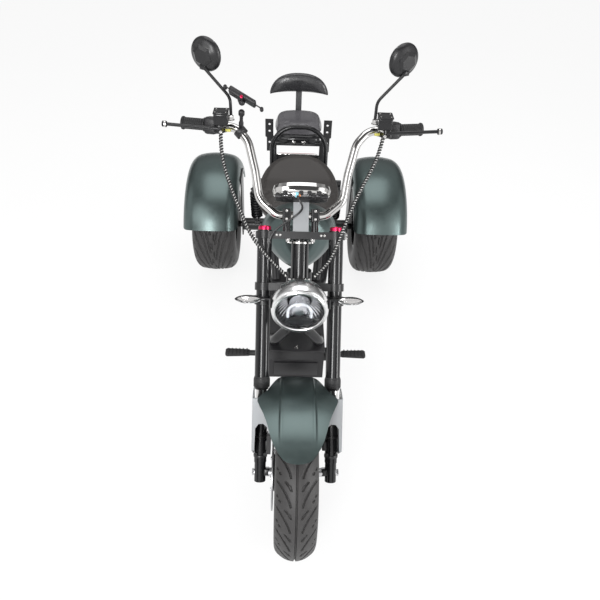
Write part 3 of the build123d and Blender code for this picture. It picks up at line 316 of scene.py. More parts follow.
def helix(points: Path, radius: float, pitch: float, steps: int = 10) -> list[Vector]:
    """The points of a helix round a path."""
    found: list[Vector] = []
    turned = 0.0
    side = Vector((1, 0, 0))
    for before, after in zip(points, points[1:]):
        run = after - before
        if run.length < 0.01:
            continue
        along = run.normalized()
        side = (side - along * side.dot(along)).normalized()
        other = along.cross(side)
        count = max(1, round(run.length / pitch * steps))
        for step in range(count):
            t = step / count
            angle = (turned + run.length * t / pitch) * math.tau
            found.append(before + run * t + (side * math.cos(angle) + other * math.sin(angle)) * radius)
        turned += run.length / pitch
    return found


def skin(shape: Callable[[np.ndarray, np.ndarray], np.ndarray], rows: int, cols: int,
         wall: float = 0.0, inwards: bool = True) -> bpy.types.Object:
    """A grid bent to a surface.

    Args:
        shape: gives the points of the surface for u across and v along, both from 0 to 1.
        rows: divisions in v.
        cols: divisions in u.
        wall: the thickness of its wall, or 0 for a surface that closes on itself.
        inwards: whether the wall grows to the inner side.

    Returns:
        The new mesh object.
    """
    deselect()
    bpy.ops.mesh.primitive_grid_add(x_subdivisions=cols, y_subdivisions=rows, size=1.0)
    piece = bpy.context.object
    flat = np.empty(len(piece.data.vertices) * 3)
    piece.data.vertices.foreach_get("co", flat)
    flat = flat.reshape(-1, 3)
    u = np.clip(flat[:, 0] + 0.5, 0, 1)
    v = np.clip(flat[:, 1] + 0.5, 0, 1)
    piece.data.vertices.foreach_set("co", np.ascontiguousarray(shape(u, v), dtype=float).ravel())
    piece.data.update()
    tidy_faces(piece, 0.01)
    if wall:
        solid = piece.modifiers.new("wall", "SOLIDIFY")
        solid.thickness = wall
        solid.offset = -1.0 if inwards else 1.0
        apply_all(piece)
        tidy_faces(piece, 0.005)
    return piece


def plate(outline: Sequence[tuple[float, float]], thickness: float, where: Matrix,
          bevel: float = 0.8) -> bpy.types.Object:
    """A flat plate cut to an outline in its local xy plane, with its edges eased.

    Args:
        outline: the corners in order.
        thickness: how far it reaches along local +z.
        where: the placing matrix.
        bevel: the width of the eased edges.

    Returns:
        The new mesh object.
    """
    deselect()
    bpy.ops.mesh.primitive_circle_add(vertices=len(outline), radius=1.0, fill_type="NGON")
    piece = bpy.context.object
    for vertex, (x, y) in zip(piece.data.vertices, outline):
        vertex.co = (x, y, 0)
    bpy.ops.object.mode_set(mode="EDIT")
    bpy.ops.mesh.select_all(action="SELECT")
    bpy.ops.mesh.extrude_region_move(TRANSFORM_OT_translate={"value": (0, 0, thickness)})
    bpy.ops.object.mode_set(mode="OBJECT")
    tidy_faces(settle(piece, where))
    if bevel:
        eased = piece.modifiers.new("eased", "BEVEL")
        eased.width = bevel
        eased.segments = 2
        eased.limit_method = "ANGLE"
        apply_all(piece)
    return piece


def join(parts: list[bpy.types.Object]) -> bpy.types.Object:
    """Joins meshes into the first of them."""
    deselect()
    for part in parts:
        part.select_set(True)
    bpy.context.view_layer.objects.active = parts[0]
    if len(parts) > 1:
        bpy.ops.object.join()
    return bpy.context.view_layer.objects.active


def arc(x0: tuple[float, float], mid: tuple[float, float], x1: tuple[float, float],
        steps: int) -> list[tuple[float, float]]:
    """Points of the circular arc through three points, its first point left out."""
    ax, ay, bx, by, cx, cy = *x0, *mid, *x1
    d = 2 * (ax * (by - cy) + bx * (cy - ay) + cx * (ay - by))
    ux = ((ax**2 + ay**2) * (by - cy) + (bx**2 + by**2) * (cy - ay) + (cx**2 + cy**2) * (ay - by)) / d
    uy = ((ax**2 + ay**2) * (cx - bx) + (bx**2 + by**2) * (ax - cx) + (cx**2 + cy**2) * (bx - ax)) / d
    r = math.hypot(ax - ux, ay - uy)
    a0 = math.atan2(ay - uy, ax - ux)
    am = (math.atan2(by - uy, bx - ux) - a0) % math.tau
    a1 = (math.atan2(cy - uy, cx - ux) - a0) % math.tau
    sweep = a1 if am <= a1 else a1 - math.tau
    return [(ux + r * math.cos(a0 + sweep * k / steps), uy + r * math.sin(a0 + sweep * k / steps))
            for k in range(1, steps + 1)]


class Grain(Enum):
    """The kinds of fine surface texture."""

    CAST = "cast"
    LEATHER = "leather"
    BRUSHED = "brushed"
    FINE = "fine"


@dataclass(frozen=True)
class Finish:
    """A painted, plated, moulded or sewn surface.

    Attributes:
        name: the material's name.
        colour: its base colour, linear.
        second: the colour it is mottled with.
        roughness: its roughness.
        metallic: its metalness.
        coat: the weight of its clear coat.
        grain: its fine texture.
        scale: the scale of that texture, per metre.
        depth: the depth of that texture in metres.
    """

    name: str
    colour: tuple[float, float, float]
    second: tuple[float, float, float]
    roughness: float
    metallic: float = 0.0
    coat: float = 0.0
    grain: Grain = Grain.FINE
    scale: float = 400.0
    depth: float = 0.0001

    def texture(self, tree: bpy.types.NodeTree, coords: bpy.types.Node) -> bpy.types.NodeSocket:
        """Adds the nodes of the fine texture.

        Args:
            tree: the material's nodes.
            coords: its coordinates' node.

        Returns:
            The socket that holds the texture's height.
        """
        if self.grain is Grain.LEATHER:
            cells = tree.nodes.new("ShaderNodeTexVoronoi")
            cells.feature = "DISTANCE_TO_EDGE"
            cells.inputs["Scale"].default_value = self.scale
            cells.inputs["Randomness"].default_value = 0.9
            tree.links.new(coords.outputs["Object"], cells.inputs["Vector"])
            return cells.outputs["Distance"]
        fine = tree.nodes.new("ShaderNodeTexNoise")
        fine.inputs["Scale"].default_value = self.scale
        fine.inputs["Detail"].default_value = 3.0
        stretch = tree.nodes.new("ShaderNodeMapping")
        if self.grain is Grain.BRUSHED:
            stretch.inputs["Scale"].default_value = (0.04, 1.0, 1.0)
        tree.links.new(coords.outputs["Object"], stretch.inputs["Vector"])
        tree.links.new(stretch.outputs["Vector"], fine.inputs["Vector"])
        return fine.outputs["Fac"]

    def material(self) -> bpy.types.Material:
        """Makes the material once and gives it back on later calls."""
        known = bpy.data.materials.get(self.name)
        if known:
            return known
        made = bpy.data.materials.new(self.name)
        made.use_nodes = True
        tree = made.node_tree
        shader = tree.nodes["Principled BSDF"]
        coords = tree.nodes.new("ShaderNodeTexCoord")
        mottle = tree.nodes.new("ShaderNodeTexNoise")
        mottle.inputs["Scale"].default_value = self.scale / 12
        mottle.inputs["Detail"].default_value = 5.0
        tree.links.new(coords.outputs["Object"], mottle.inputs["Vector"])
        mix = tree.nodes.new("ShaderNodeMix")
        mix.data_type = "RGBA"
        mix.inputs[6].default_value = (*self.colour, 1)
        mix.inputs[7].default_value = (*self.second, 1)
        shader.inputs["Metallic"].default_value = self.metallic
        shader.inputs["Coat Weight"].default_value = self.coat
        shader.inputs["Coat Roughness"].default_value = 0.12
        shader.inputs["Specular IOR Level"].default_value = 0.42
        bump = tree.nodes.new("ShaderNodeBump")
        bump.inputs["Distance"].default_value = self.depth
        tree.links.new(mottle.outputs["Fac"], mix.inputs[0])
        tree.links.new(mix.outputs[2], shader.inputs["Base Color"])
        tree.links.new(self.texture(tree, coords), bump.inputs["Height"])
        tree.links.new(bump.outputs["Normal"], shader.inputs["Normal"])
        span = tree.nodes.new("ShaderNodeMapRange")
        span.inputs["To Min"].default_value = max(self.roughness - 0.05, 0.02)
        span.inputs["To Max"].default_value = self.roughness + 0.05
        tree.links.new(mottle.outputs["Fac"], span.inputs["Value"])
        tree.links.new(span.outputs["Result"], shader.inputs["Roughness"])
        return made


@dataclass(frozen=True)
class ClearFinish:
    """A clear glass or plastic cover."""

    name: str
    colour: tuple[float, float, float]
    roughness: float = 0.02
    ior: float = 1.3

    def material(self) -> bpy.types.Material:
        """Makes the material once and gives it back on later calls."""
        known = bpy.data.materials.get(self.name)
        if known:
            return known
        made = bpy.data.materials.new(self.name)
        made.use_nodes = True
        tree = made.node_tree
        shader = tree.nodes["Principled BSDF"]
        shader.inputs["Base Color"].default_value = (*self.colour, 1)
        shader.inputs["Transmission Weight"].default_value = 1.0
        shader.inputs["IOR"].default_value = self.ior
        coords = tree.nodes.new("ShaderNodeTexCoord")
        haze = tree.nodes.new("ShaderNodeTexNoise")
        haze.inputs["Scale"].default_value = 60.0
        span = tree.nodes.new("ShaderNodeMapRange")
        span.inputs["To Min"].default_value = self.roughness * 0.6
        span.inputs["To Max"].default_value = self.roughness * 1.6
        tree.links.new(coords.outputs["Object"], haze.inputs["Vector"])
        tree.links.new(haze.outputs["Fac"], span.inputs["Value"])
        tree.links.new(span.outputs["Result"], shader.inputs["Roughness"])
        return made


class Look:
    """The finishes of this tricycle."""

    TYRE = Finish("tyre_rubber", (0.028, 0.027, 0.027), (0.042, 0.040, 0.040), 0.50, scale=500, depth=0.00015)
    GUARD = Finish("green_grey_guard", (0.090, 0.120, 0.118), (0.106, 0.137, 0.134), 0.31, 0.85, 0.0,
                   scale=700, depth=1e-6)
    GLOSS_BLACK = Finish("gloss_black_paint", (0.006, 0.006, 0.007), (0.010, 0.010, 0.011), 0.14, 0.0, 0.0,
                         scale=90, depth=2e-5)
    SATIN_BLACK = Finish("satin_black_paint", (0.010, 0.010, 0.011), (0.016, 0.016, 0.017), 0.30, scale=300,
                         depth=5e-5)
    MOULDED = Finish("moulded_black", (0.012, 0.012, 0.013), (0.020, 0.019, 0.021), 0.42, 0, 0, Grain.CAST,
                     700, 8e-5)
    STAY = Finish("stay_grey_paint", (0.24, 0.25, 0.26), (0.28, 0.29, 0.30), 0.35, 0.2, 0.3, scale=200,
                  depth=2e-5)
    POST = Finish("post_grey_paint", (0.070, 0.070, 0.073), (0.090, 0.090, 0.093), 0.35, scale=200, depth=2e-5)
    CHROME = Finish("bright_chrome", (0.62, 0.61, 0.60), (0.56, 0.55, 0.54), 0.08, 1.0, scale=60, depth=1e-6)
    LAMP_CHROME = Finish("lamp_chrome", (0.86, 0.86, 0.86), (0.80, 0.80, 0.80), 0.24, 1.0, scale=60, depth=1e-6)
    CAP = Finish("red_anodised", (0.55, 0.015, 0.07), (0.62, 0.03, 0.10), 0.25, 0.85, scale=200, depth=1e-5)
    ALLOY = Finish("machined_alloy", (0.66, 0.66, 0.67), (0.58, 0.58, 0.60), 0.28, 1.0, 0, Grain.BRUSHED, 600,
                   2e-5)
    DISC = Finish("ground_disc_steel", (0.50, 0.50, 0.51), (0.42, 0.42, 0.43), 0.30, 1.0, 0, Grain.BRUSHED,
                  900, 2e-5)
    CAST = Finish("cast_black_coat", (0.012, 0.012, 0.013), (0.020, 0.020, 0.021), 0.33, 0.1, 0, Grain.CAST,
                  350, 1e-4)
    GRIP = Finish("ribbed_grip_rubber", (0.012, 0.012, 0.013), (0.020, 0.020, 0.021), 0.55, 0, 0, Grain.CAST,
                  900, 1e-4)
    DRIVER = Finish("driver_cover", (0.024, 0.021, 0.0195), (0.033, 0.029, 0.027), 0.55, 0, 0, Grain.LEATHER,
                    420, 1.2e-4)
    PASSENGER = Finish("passenger_cover", (0.066, 0.064, 0.070), (0.086, 0.083, 0.090), 0.30, 0, 0.25,
                       Grain.LEATHER, 520, 5e-5)
    REST = Finish("backrest_vinyl", (0.018, 0.018, 0.020), (0.026, 0.026, 0.028), 0.27, 0, 0.3, Grain.LEATHER,
                  480, 7e-5)
    MIRROR = Finish("silvered_mirror", (0.88, 0.89, 0.90), (0.86, 0.87, 0.88), 0.02, 1.0, scale=20, depth=1e-7)
    RED = Finish("red_lens_plastic", (0.42, 0.010, 0.012), (0.50, 0.020, 0.020), 0.18, 0, 0.5, scale=250,
                 depth=8e-5)
    YELLOW = Finish("yellow_sleeve", (0.60, 0.56, 0.12), (0.50, 0.46, 0.10), 0.5, scale=200, depth=5e-5)
    BLUE = Finish("blue_plug", (0.30, 0.62, 0.72), (0.24, 0.55, 0.66), 0.4, scale=200, depth=5e-5)
    ORANGE = Finish("orange_plug", (0.75, 0.28, 0.10), (0.68, 0.24, 0.09), 0.4, scale=200, depth=5e-5)
    WHITE = Finish("white_light_guide", (0.85, 0.86, 0.88), (0.80, 0.81, 0.83), 0.25, 0, 0.3, scale=120,
                   depth=1e-5)
    BEADS = Finish("wrap_white", (0.70, 0.70, 0.68), (0.60, 0.60, 0.58), 0.4, scale=200, depth=2e-5)
    LAMP_GLASS = ClearFinish("lamp_clear_glass", (0.97, 0.98, 1.0), 0.01, 1.15)
    SIGNAL_GLASS = ClearFinish("signal_clear_lens", (0.95, 0.95, 0.96), 0.04, 1.3)


def paint(piece: bpy.types.Object, finish: Finish | ClearFinish) -> None:
    """Gives a mesh one finish in every slot."""
    piece.data.materials.clear()
    piece.data.materials.append(finish.material())


def keep(name: str, parts: bpy.types.Object | list[bpy.types.Object], finish: Finish | ClearFinish,
         body: str, stands_for: Sequence[str] = (), crease: float = 35.0) -> bpy.types.Object:
    """Brings a finished piece to metres, dresses it and ties it to its body.

    Args:
        name: the piece's name.
        parts: its meshes, which are joined.
        finish: the finish it wears.
        body: the CAD body that it rides on.
        stands_for: the CAD nodes that it replaces.
        crease: the angle above which an edge stays sharp.

    Returns:
        The finished object.
    """
    piece = join(parts if isinstance(parts, list) else [parts])
    piece.name = name
    piece.data.name = name
    piece.data.transform(Matrix.Scale(TO_METRES, 4))
    deselect()
    piece.select_set(True)
    bpy.context.view_layer.objects.active = piece
    bpy.ops.object.shade_smooth_by_angle(angle=math.radians(crease))
    paint(piece, finish)
    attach(piece, body)
    if stands_for:
        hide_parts(*stands_for)
    log.info("%s: %d faces, rides on %s", name, len(piece.data.polygons), body)
    return piece


VOXEL = 0.005
BASE_BAND = 0.004
PRESSURE = 4.0
CLOTH_FRAMES = 20


def plump(name: str, part: bpy.types.Object, finish: Finish, body: str, stands_for: Sequence[str],
          swell: float = 0.008) -> bpy.types.Object:
    """Swells a cushion by cloth simulation and keeps it.

    Args:
        name: the piece's name.
        part: the start shape, in millimetres.
        finish: its cover.
        body: the CAD body that it rides on.
        stands_for: the CAD nodes that it replaces.
        swell: the most that a point may move, in metres.

    Returns:
        The finished cushion.
    """
    part.data.transform(Matrix.Scale(TO_METRES, 4))
    remesh = part.modifiers.new("voxels", "REMESH")
    remesh.mode = "VOXEL"
    remesh.voxel_size = VOXEL
    apply_all(part)
    rest = np.empty(len(part.data.vertices) * 3)
    part.data.vertices.foreach_get("co", rest)
    base = part.vertex_groups.new(name="base")
    low = min(v.co.z for v in part.data.vertices)
    base.add([v.index for v in part.data.vertices if v.co.z < low + BASE_BAND], 1.0, "REPLACE")
    cloth = part.modifiers.new("cover", "CLOTH")
    cloth.settings.use_pressure = True
    cloth.settings.uniform_pressure_force = PRESSURE
    cloth.settings.effector_weights.gravity = 0.0
    cloth.settings.vertex_group_mass = "base"
    for step in range(1, CLOTH_FRAMES + 1):
        bpy.context.scene.frame_set(step)
    shaped = part.evaluated_get(bpy.context.evaluated_depsgraph_get())
    moved = np.empty_like(rest)
    shaped.data.vertices.foreach_get("co", moved)
    part.modifiers.remove(cloth)
    shift = (moved - rest).reshape(-1, 3)
    outwards = np.empty_like(rest)
    part.data.vertex_normals.foreach_get("vector", outwards)
    outwards = outwards.reshape(-1, 3)
    shift = outwards * np.clip((shift * outwards).sum(axis=1, keepdims=True), 0.0, swell)
    part.data.vertices.foreach_set("co", (rest.reshape(-1, 3) + shift).ravel())
    part.data.update()
    bpy.context.scene.frame_set(1)
    part.vertex_groups.clear()
    finer = part.modifiers.new("finer", "SUBSURF")
    finer.levels = 1
    finer.render_levels = 1
    apply_all(part)
    part.data.transform(Matrix.Scale(1 / TO_METRES, 4))
    piece = keep(name, part, finish, body, stands_for, 60)
    return piece


class Tread(Enum):
    """The tread patterns."""

    ROAD_VEE = "road_vee"
    WIDE_VEE = "wide_vee"


GROOVE_DEPTH = 4.5
GROOVE_EDGE = 1.4
TREAD_BAND = 30.0
BAND_FADE = 8.0
SIDE_RIBS = 120
SIDE_RIB_DOWN = 52.0


@dataclass
class Tyre:
    """A tyre with its tread cut in."""

    name: str
    body: str
    centre: Vector
    section: list[tuple[float, float]]
    tread: Tread
    radius: float
    around: int = 900
    across: int = 88

    def lines(self) -> tuple[list[list[tuple[float, float]]], int, float]:
        """The grooves of one pitch on one side, the number of pitches, and the grooves' width."""
        if self.tread is Tread.ROAD_VEE:
            return [
                [(55, 68), (43, 52), (31, 34), (21, 14), (16, -2)],
                [(29, -14), (22, -22), (15, -34)],
                [(15, -34), (18, -24)],
                [(45, 10), (43, 7)],
                [(52, 24), (50, 20)],
            ], 20, 4.4
        return [
            [(76, 150), (58, 98), (43, 48), (31, 0), (25, -40)],
            [(60, 112), (46, 70), (37, 28)],
            [(24, 60), (17, 18), (12, -20)],
            [(82, 84), (70, 44)],
            [(97, 60), (88, 22)],
            [(5, 30), (4, 0)],
        ], 15, 6.0

    def cut(self, x: np.ndarray, run: np.ndarray) -> np.ndarray:
        """How deep the tread is cut.

        Args:
            x: places across the tyre.
            run: places around it, along its crown.

        Returns:
            The depth below the crown, in millimetres.
        """
        lines, pitches, width = self.lines()
        pitch = math.tau * self.radius / pitches
        near = np.full(x.shape, 1e9)
        half = np.abs(x)
        local = np.mod(run + np.where(x > 0, pitch / 2 if self.tread is Tread.WIDE_VEE else 0, 0), pitch)
        for line in lines:
            for (x0, s0), (x1, s1) in zip(line, line[1:]):
                for hop in (-2, -1, 0, 1, 2):
                    px, ps = half - x0, local - s0 + hop * pitch
                    dx, ds = x1 - x0, s1 - s0
                    t = np.clip((px * dx + ps * ds) / (dx * dx + ds * ds), 0, 1)
                    near = np.minimum(near, np.hypot(px - dx * t, ps - ds * t))
        if self.tread is Tread.ROAD_VEE:
            near = np.minimum(near, np.abs(x) + 0.2)
        edge = np.clip((width / 2 + GROOVE_EDGE / 2 - near) / GROOVE_EDGE, 0, 1)
        return edge * GROOVE_DEPTH

    def build(self) -> None:
        """Makes the tyre and stands it in for its CAD node."""
        profile = np.array(self.section)
        lengths = np.concatenate([[0], np.cumsum(np.hypot(*np.diff(profile, axis=0).T))])
        crown = profile[:, 1] > self.radius - TREAD_BAND
        weight = np.where(crown, 1.0, 0.25)
        speed = np.concatenate([[0], np.cumsum(np.diff(lengths) * (weight[1:] + weight[:-1]) / 2)])
        speed /= speed[-1]

        def shape(u: np.ndarray, v: np.ndarray) -> np.ndarray:
            """The tyre's surface, u across and v around."""
            where = np.interp(u, speed, lengths)
            x = np.interp(where, lengths, profile[:, 0])
            r = np.interp(where, lengths, profile[:, 1])
            turn = v * math.tau
            depth = self.cut(x, turn * self.radius)
            fade = np.clip((r - (self.radius - TREAD_BAND)) / BAND_FADE, 0, 1)
            near_rib = np.abs(r - (self.radius - SIDE_RIB_DOWN)) < 4
            ribs = 0.5 * (np.cos(turn * SIDE_RIBS) > 0) * near_rib
            r = r - depth * fade + ribs
            y = -r * np.cos(turn)
            z = r * np.sin(turn)
            return np.stack([x + self.centre.x, y + self.centre.y, z + self.centre.z], 1)

        tyre = skin(shape, self.around, self.across)
        tyre.data.update()
        keep(f"{self.name}_dressed", tyre, Look.TYRE, self.body, [self.name], 30)


def front_section() -> list[tuple[float, float]]:
    """The front tyre's section from bead to bead, across the outside and back inside."""
    right = [(37.5, 153), (37.5, 162)] + arc((37.5, 162), (56, 180), (60, 196), 8)
    right += arc((60, 196), (55, 211), (44, 222), 8) + arc((44, 222), (22.5, 234), (0, 238), 14)
    left = [(-x, r) for x, r in right[-2::-1]]
    return right + left + [(37.5, 153)]


def rear_section() -> list[tuple[float, float]]:
    """The rear tyre's section from bead to bead, across the outside and back inside."""
    right = [(84, 103), (84, 114)] + arc((84, 114), (97, 135), (102, 168), 8)
    right += arc((102, 168), (93, 200), (70, 221), 10) + arc((70, 221), (35, 227), (0, 229), 14)
    left = [(-x, r) for x, r in right[-2::-1]]
    return right + left + [(84, 103)]


class Wheels:
    """The three wheels: tyres, rims, the disc and the axle's nuts."""

    def build(self) -> None:
        """Makes the tyres, the rear hubs' nuts and caps, and the disc's bolts."""
        Tyre("front_tyre", "front_wheel", at(0, 0, FRONT_TYRE_R), front_section(), Tread.ROAD_VEE,
             FRONT_TYRE_R).build()
        for side, word in ((-1, "left"), (1, "right")):
            centre = at(side * HALF_TRACK, WHEELBASE, REAR_TYRE_R)
            Tyre(f"rear_tyre_{word}", f"rear_wheel_{word}", centre, rear_section(), Tread.WIDE_VEE, REAR_TYRE_R,
                 600, 84).build()
            out = Vector((side, 0, 0))
            nuts = [hex_nut(centre + Vector((side * 28, 22 * math.cos(turn), 22 * math.sin(turn))), out, 6, 5)
                    for turn in (0.4, 1.66, 2.91, 4.17, 5.43)]
            cap = lathe([(0, 10), (10, 9), (15, 5), (16, 0)], place(centre + out * 44, out))
            keep(f"rear_hub_{word}", nuts + [cap], Look.CHROME, f"rear_wheel_{word}")
        centre = at(0, 0, FRONT_TYRE_R)
        bolts = [cap_bolt(centre + Vector((-70, y, z)), Vector((-1, 0, 0)), 5, 4) for y,
                 z in ring_points(5, 48)]
        keep("disc_bolts", bolts, Look.ALLOY, "front_wheel")


@dataclass
class Guards:
    """The mudguards over the three wheels."""

    radius: float = 346.0
    half_w: float = 122.0
    lip_deg: float = 26.6
    lip_bead: float = 0.6
    nose_r: float = 282.0
    wing_half: float = 113.0
    wing_drop: float = 11.0
    rib_x: float = 47.0

    def rear(self, side: int, word: str) -> None:
        """One rear guard with rounded lips."""
        centre = at(side * HALF_TRACK, WHEELBASE, REAR_TYRE_R)
        r = self.radius
        half = [(self.half_w, r - 85), (self.half_w, r - 69)]
        half += arc((self.half_w, r - 69), (103, r - 27), (64, r - 7), 10)
        half += arc((64, r - 7), (32.5, r - 1.8), (0, r), 10)
        profile = np.array(half + [(-x, r) for x, r in half[-2::-1]])
        lengths = np.concatenate([[0], np.cumsum(np.hypot(*np.diff(profile, axis=0).T))])
        lengths /= lengths[-1]

        def shape(u: np.ndarray, v: np.ndarray) -> np.ndarray:
            """The guard's outer surface, u across and v from the front lip to the rear one."""
            x = np.interp(u, lengths, profile[:, 0])
            r = np.interp(u, lengths, profile[:, 1])
            edge = np.minimum(u, 1 - u)
            corner = np.clip(1 - edge / 0.2, 0, 1)
            inset = 1 - np.sqrt(np.clip(1 - corner**2, 0, 1))
            lip = np.minimum(v, 1 - v)
            span = math.radians(180 - 2 * self.lip_deg)
            pull = 0.062 * inset * np.exp(-lip / 0.07)
            turn = math.radians(self.lip_deg) + np.where(v < 0.5, v + pull, v - pull) * span
            r = r + self.lip_bead * np.clip(1 - lip / 0.012, 0, 1)
            return np.stack([centre.x + x, centre.y - r * np.cos(turn), centre.z + r * np.sin(turn)], 1)

        guard = skin(shape, 96, 64, 4.0)
        keep(f"rear_guard_{word}", guard, Look.GUARD, "chassis", [f"rear_fender_{word}"], 50)

    def front(self) -> None:
        """The front guard: a shield with a raised middle between two ribs."""
        rows = np.array([
            (-138, 3), (-137, 16), (-134, 28), (-129, 38), (-118, 48), (-103, 59), (-80, 70), (-52, 78),
            (-24, 86), (4, 96), (32, 107), (50, 112.5), (58, 113), (66, 110.5), (80, 99), (96, 87),
            (128, 75), (166, 63), (205, 52), (216, 45), (221, 34), (222, 20),
        ], dtype=float)
        backs = rows[:, 0]

        def shape(u: np.ndarray, v: np.ndarray) -> np.ndarray:
            """The shield's outer surface, u across and v from the nose to the tail."""
            back = np.interp(v, np.linspace(0, 1, len(backs)), backs)
            half = np.interp(back, backs, rows[:, 1])
            across = (u * 2 - 1) * half
            drop = self.wing_drop * (np.abs(across) / self.wing_half) ** 2
            fade = np.clip((back + 95) / 60, 0, 1)
            raised = fade / (1 + np.exp((np.abs(across) - self.rib_x + 3) / 1.4))
            rib = np.exp(-((np.abs(across) - self.rib_x) / 2.4) ** 2) * fade
            r = self.nose_r - drop + 2.0 * raised + 2.4 * rib - 1.0
            turn = np.arccos(np.clip(-back / self.nose_r, -1, 1))
            return np.stack([across, AXLE_Y - r * np.cos(turn), FRONT_TYRE_R + r * np.sin(turn)], 1)

        guard = skin(shape, 110, 96, 3.0)
        keep("front_guard", guard, Look.GUARD, "steering", ["front_fender"], 50)
        bolts = [cap_bolt(on_fork(side * 127.7, along, ahead), Vector((side, 0, 0)), 6, 4) for side in SIDES
                 for along, ahead in ((96, 6), (124, 6), (150, 10))]
        keep("stay_bolts", bolts, Look.SATIN_BLACK, "steering")

    def build(self) -> None:
        """Makes the three guards."""
        self.rear(-1, "left")
        self.rear(1, "right")
        self.front()


@dataclass
class Seats:
    """The driver's seat, the passenger's seat and the backrest, with the body shell in front."""

    driver_front: float = 665.0
    driver_rear: float = 1000.0
    driver_under: float = 696.0
    driver_half_w: float = 146.0
    driver_half_l: float = 164.0
    rest_half_w: float = 125.0
    rest_back: float = 1432.0
    rest_up: float = 922.0
    passenger_front: float = 1202.0
    passenger_rear: float = 1402.0

    def saddle(self, u: np.ndarray, v: np.ndarray, mid: Vector, half_w: float, half_l: float,
               top: Callable[[np.ndarray, np.ndarray], np.ndarray], power: float) -> np.ndarray:
        """A closed pillow whose outline from above is a superellipse.

        Args:
            u: around it, from 0 to 1.
            v: from the top's middle to the underside's middle.
            mid: the middle of its underside.
            half_w: half its width.
            half_l: half its length.
            top: its height for places from -1 to 1 across and along.
            power: the squareness of the outline.

        Returns:
            Its points.
        """
        angle = u * math.tau
        c, s = np.cos(angle), np.sin(angle)
        ex, ey = np.sign(c) * np.abs(c) ** (2 / power), np.sign(s) * np.abs(s) ** (2 / power)
        over = np.clip(v / 0.62, 0, 1)
        under = np.clip((v - 0.74) / 0.26, 0, 1)
        reach = np.where(v < 0.62, np.sin(over * math.pi / 2) ** 0.8, 1 - under)
        high = top(ex * reach, ey * reach)
        shoulder = 1 - (1 - np.sqrt(np.clip(1 - over**6, 0, 1))) * 0.55
        fall = np.where(v < 0.62, shoulder, 0.45 * np.clip((0.74 - v) / 0.12, 0, 1))
        return np.stack([mid.x + ex * half_w * reach, mid.y + ey * half_l * reach, mid.z + high * fall], 1)

    def driver(self) -> None:
        """The driver's seat, with a raised rear lip and a seam round its skirt."""
        mid = at(0, (self.driver_front + self.driver_rear) / 2, self.driver_under)

        def top(x: np.ndarray, y: np.ndarray) -> np.ndarray:
            """The height of the seat's top."""
            lip = 56 * np.clip((y - 0.15) / 0.8, 0, 1) ** 1.6
            dish = -6 * np.exp(-(x**2 + (y + 0.1) ** 2) / 0.35)
            nose = -12 * np.clip((-y - 0.6) / 0.4, 0, 1) ** 1.5
            return 58 + lip + dish + nose

        def shape(u: np.ndarray, v: np.ndarray) -> np.ndarray:
            """The seat's skin."""
            return self.saddle(u, v, mid, self.driver_half_w, self.driver_half_l, top, 2.5)

        plump("driver_seat", skin(shape, 48, 96), Look.DRIVER, "chassis", ["front_seat"])

        def rim(turn: float) -> Vector:
            """A point of the seam round the skirt."""
            c, s = math.cos(turn), math.sin(turn)
            ex = math.copysign(abs(c) ** 0.8, c)
            ey = math.copysign(abs(s) ** 0.8, s)
            return mid + Vector((ex * (self.driver_half_w + 1), ey * (self.driver_half_l + 1), 14))

        seam = tube([rim(math.tau * k / 96) for k in range(97)], 2.2)
        keep("driver_seat_seam", seam, Look.DRIVER, "chassis")

    def passenger(self) -> None:
        """The passenger's seat and the moulded base below it."""
        mid = at(0, (self.passenger_front + self.passenger_rear) / 2, 788)

        def shape(u: np.ndarray, v: np.ndarray) -> np.ndarray:
            """The seat's skin, a little narrower at its top."""
            found = self.saddle(u, v, mid, 100, 97, lambda x, y: 40 - 3 * y**2 - 2 * x**2, 3.2)
            lean = 1 - 0.12 * np.clip((found[:, 2] - 790) / 36, 0, 1)
            found[:, 0] *= lean
            return found

        plump("passenger_seat", skin(shape, 40, 80), Look.PASSENGER, "chassis",
              ["rear_seat"], 0.004)
        cover = ball(1.0, place(at(0, self.passenger_front + 14, 766), UP), (90, 24, 25))
        keep("passenger_base_cover", cover, Look.GLOSS_BLACK, "chassis")
        bolts = [hex_nut(at(x, self.passenger_front - 9, 762), Vector((0, -1, 0.25)), 6, 5) for x in (-20, 20)]
        keep("passenger_base_bolts", bolts, Look.CHROME, "chassis")

    def backrest(self) -> None:
        """The half-moon backrest pad with a welt round its edge."""
        def outline(turn: np.ndarray) -> tuple[np.ndarray, np.ndarray]:
            """The half-moon's edge, for angles round it."""
            c, s = np.cos(turn), np.sin(turn)
            x = np.sign(c) * np.abs(c) ** 0.86 * self.rest_half_w
            z = np.where(s > 0, 900 + 76 * np.abs(s) ** 1.05 - 10 * np.abs(c) ** 6, 890 + 10 * np.abs(s) ** 1.5)
            return x, z

        def shape(u: np.ndarray, v: np.ndarray) -> np.ndarray:
            """The pad's skin: v runs from the front's middle to the back's middle."""
            turn = u * math.tau
            x, z = outline(turn)
            reach = np.sin(np.clip(v, 0, 1) * math.pi) ** 0.55
            depth = np.cos(v * math.pi)
            near = np.sign(depth) * np.abs(depth) ** 0.8
            bend = 10 * (x / self.rest_half_w) ** 2
            y = AXLE_Y + self.rest_back - 17 - near * 15 - bend * reach
            return np.stack([x * reach, y, self.rest_up + (z - self.rest_up) * reach], 1)

        plump("backrest", skin(shape, 40, 96), Look.REST, "chassis", ["backrest_pad"], 0.003)
        turn = np.linspace(0, math.tau, 97)
        x, z = outline(turn)
        inset = 0.985
        y = AXLE_Y + self.rest_back - 17 - 10 * (x / self.rest_half_w) ** 2
        edge = np.stack([x * inset, y, self.rest_up + (z - self.rest_up) * inset], 1)
        welt = tube([Vector(point) for point in edge], 2.6)
        keep("backrest_welt", welt, Look.REST, "chassis")

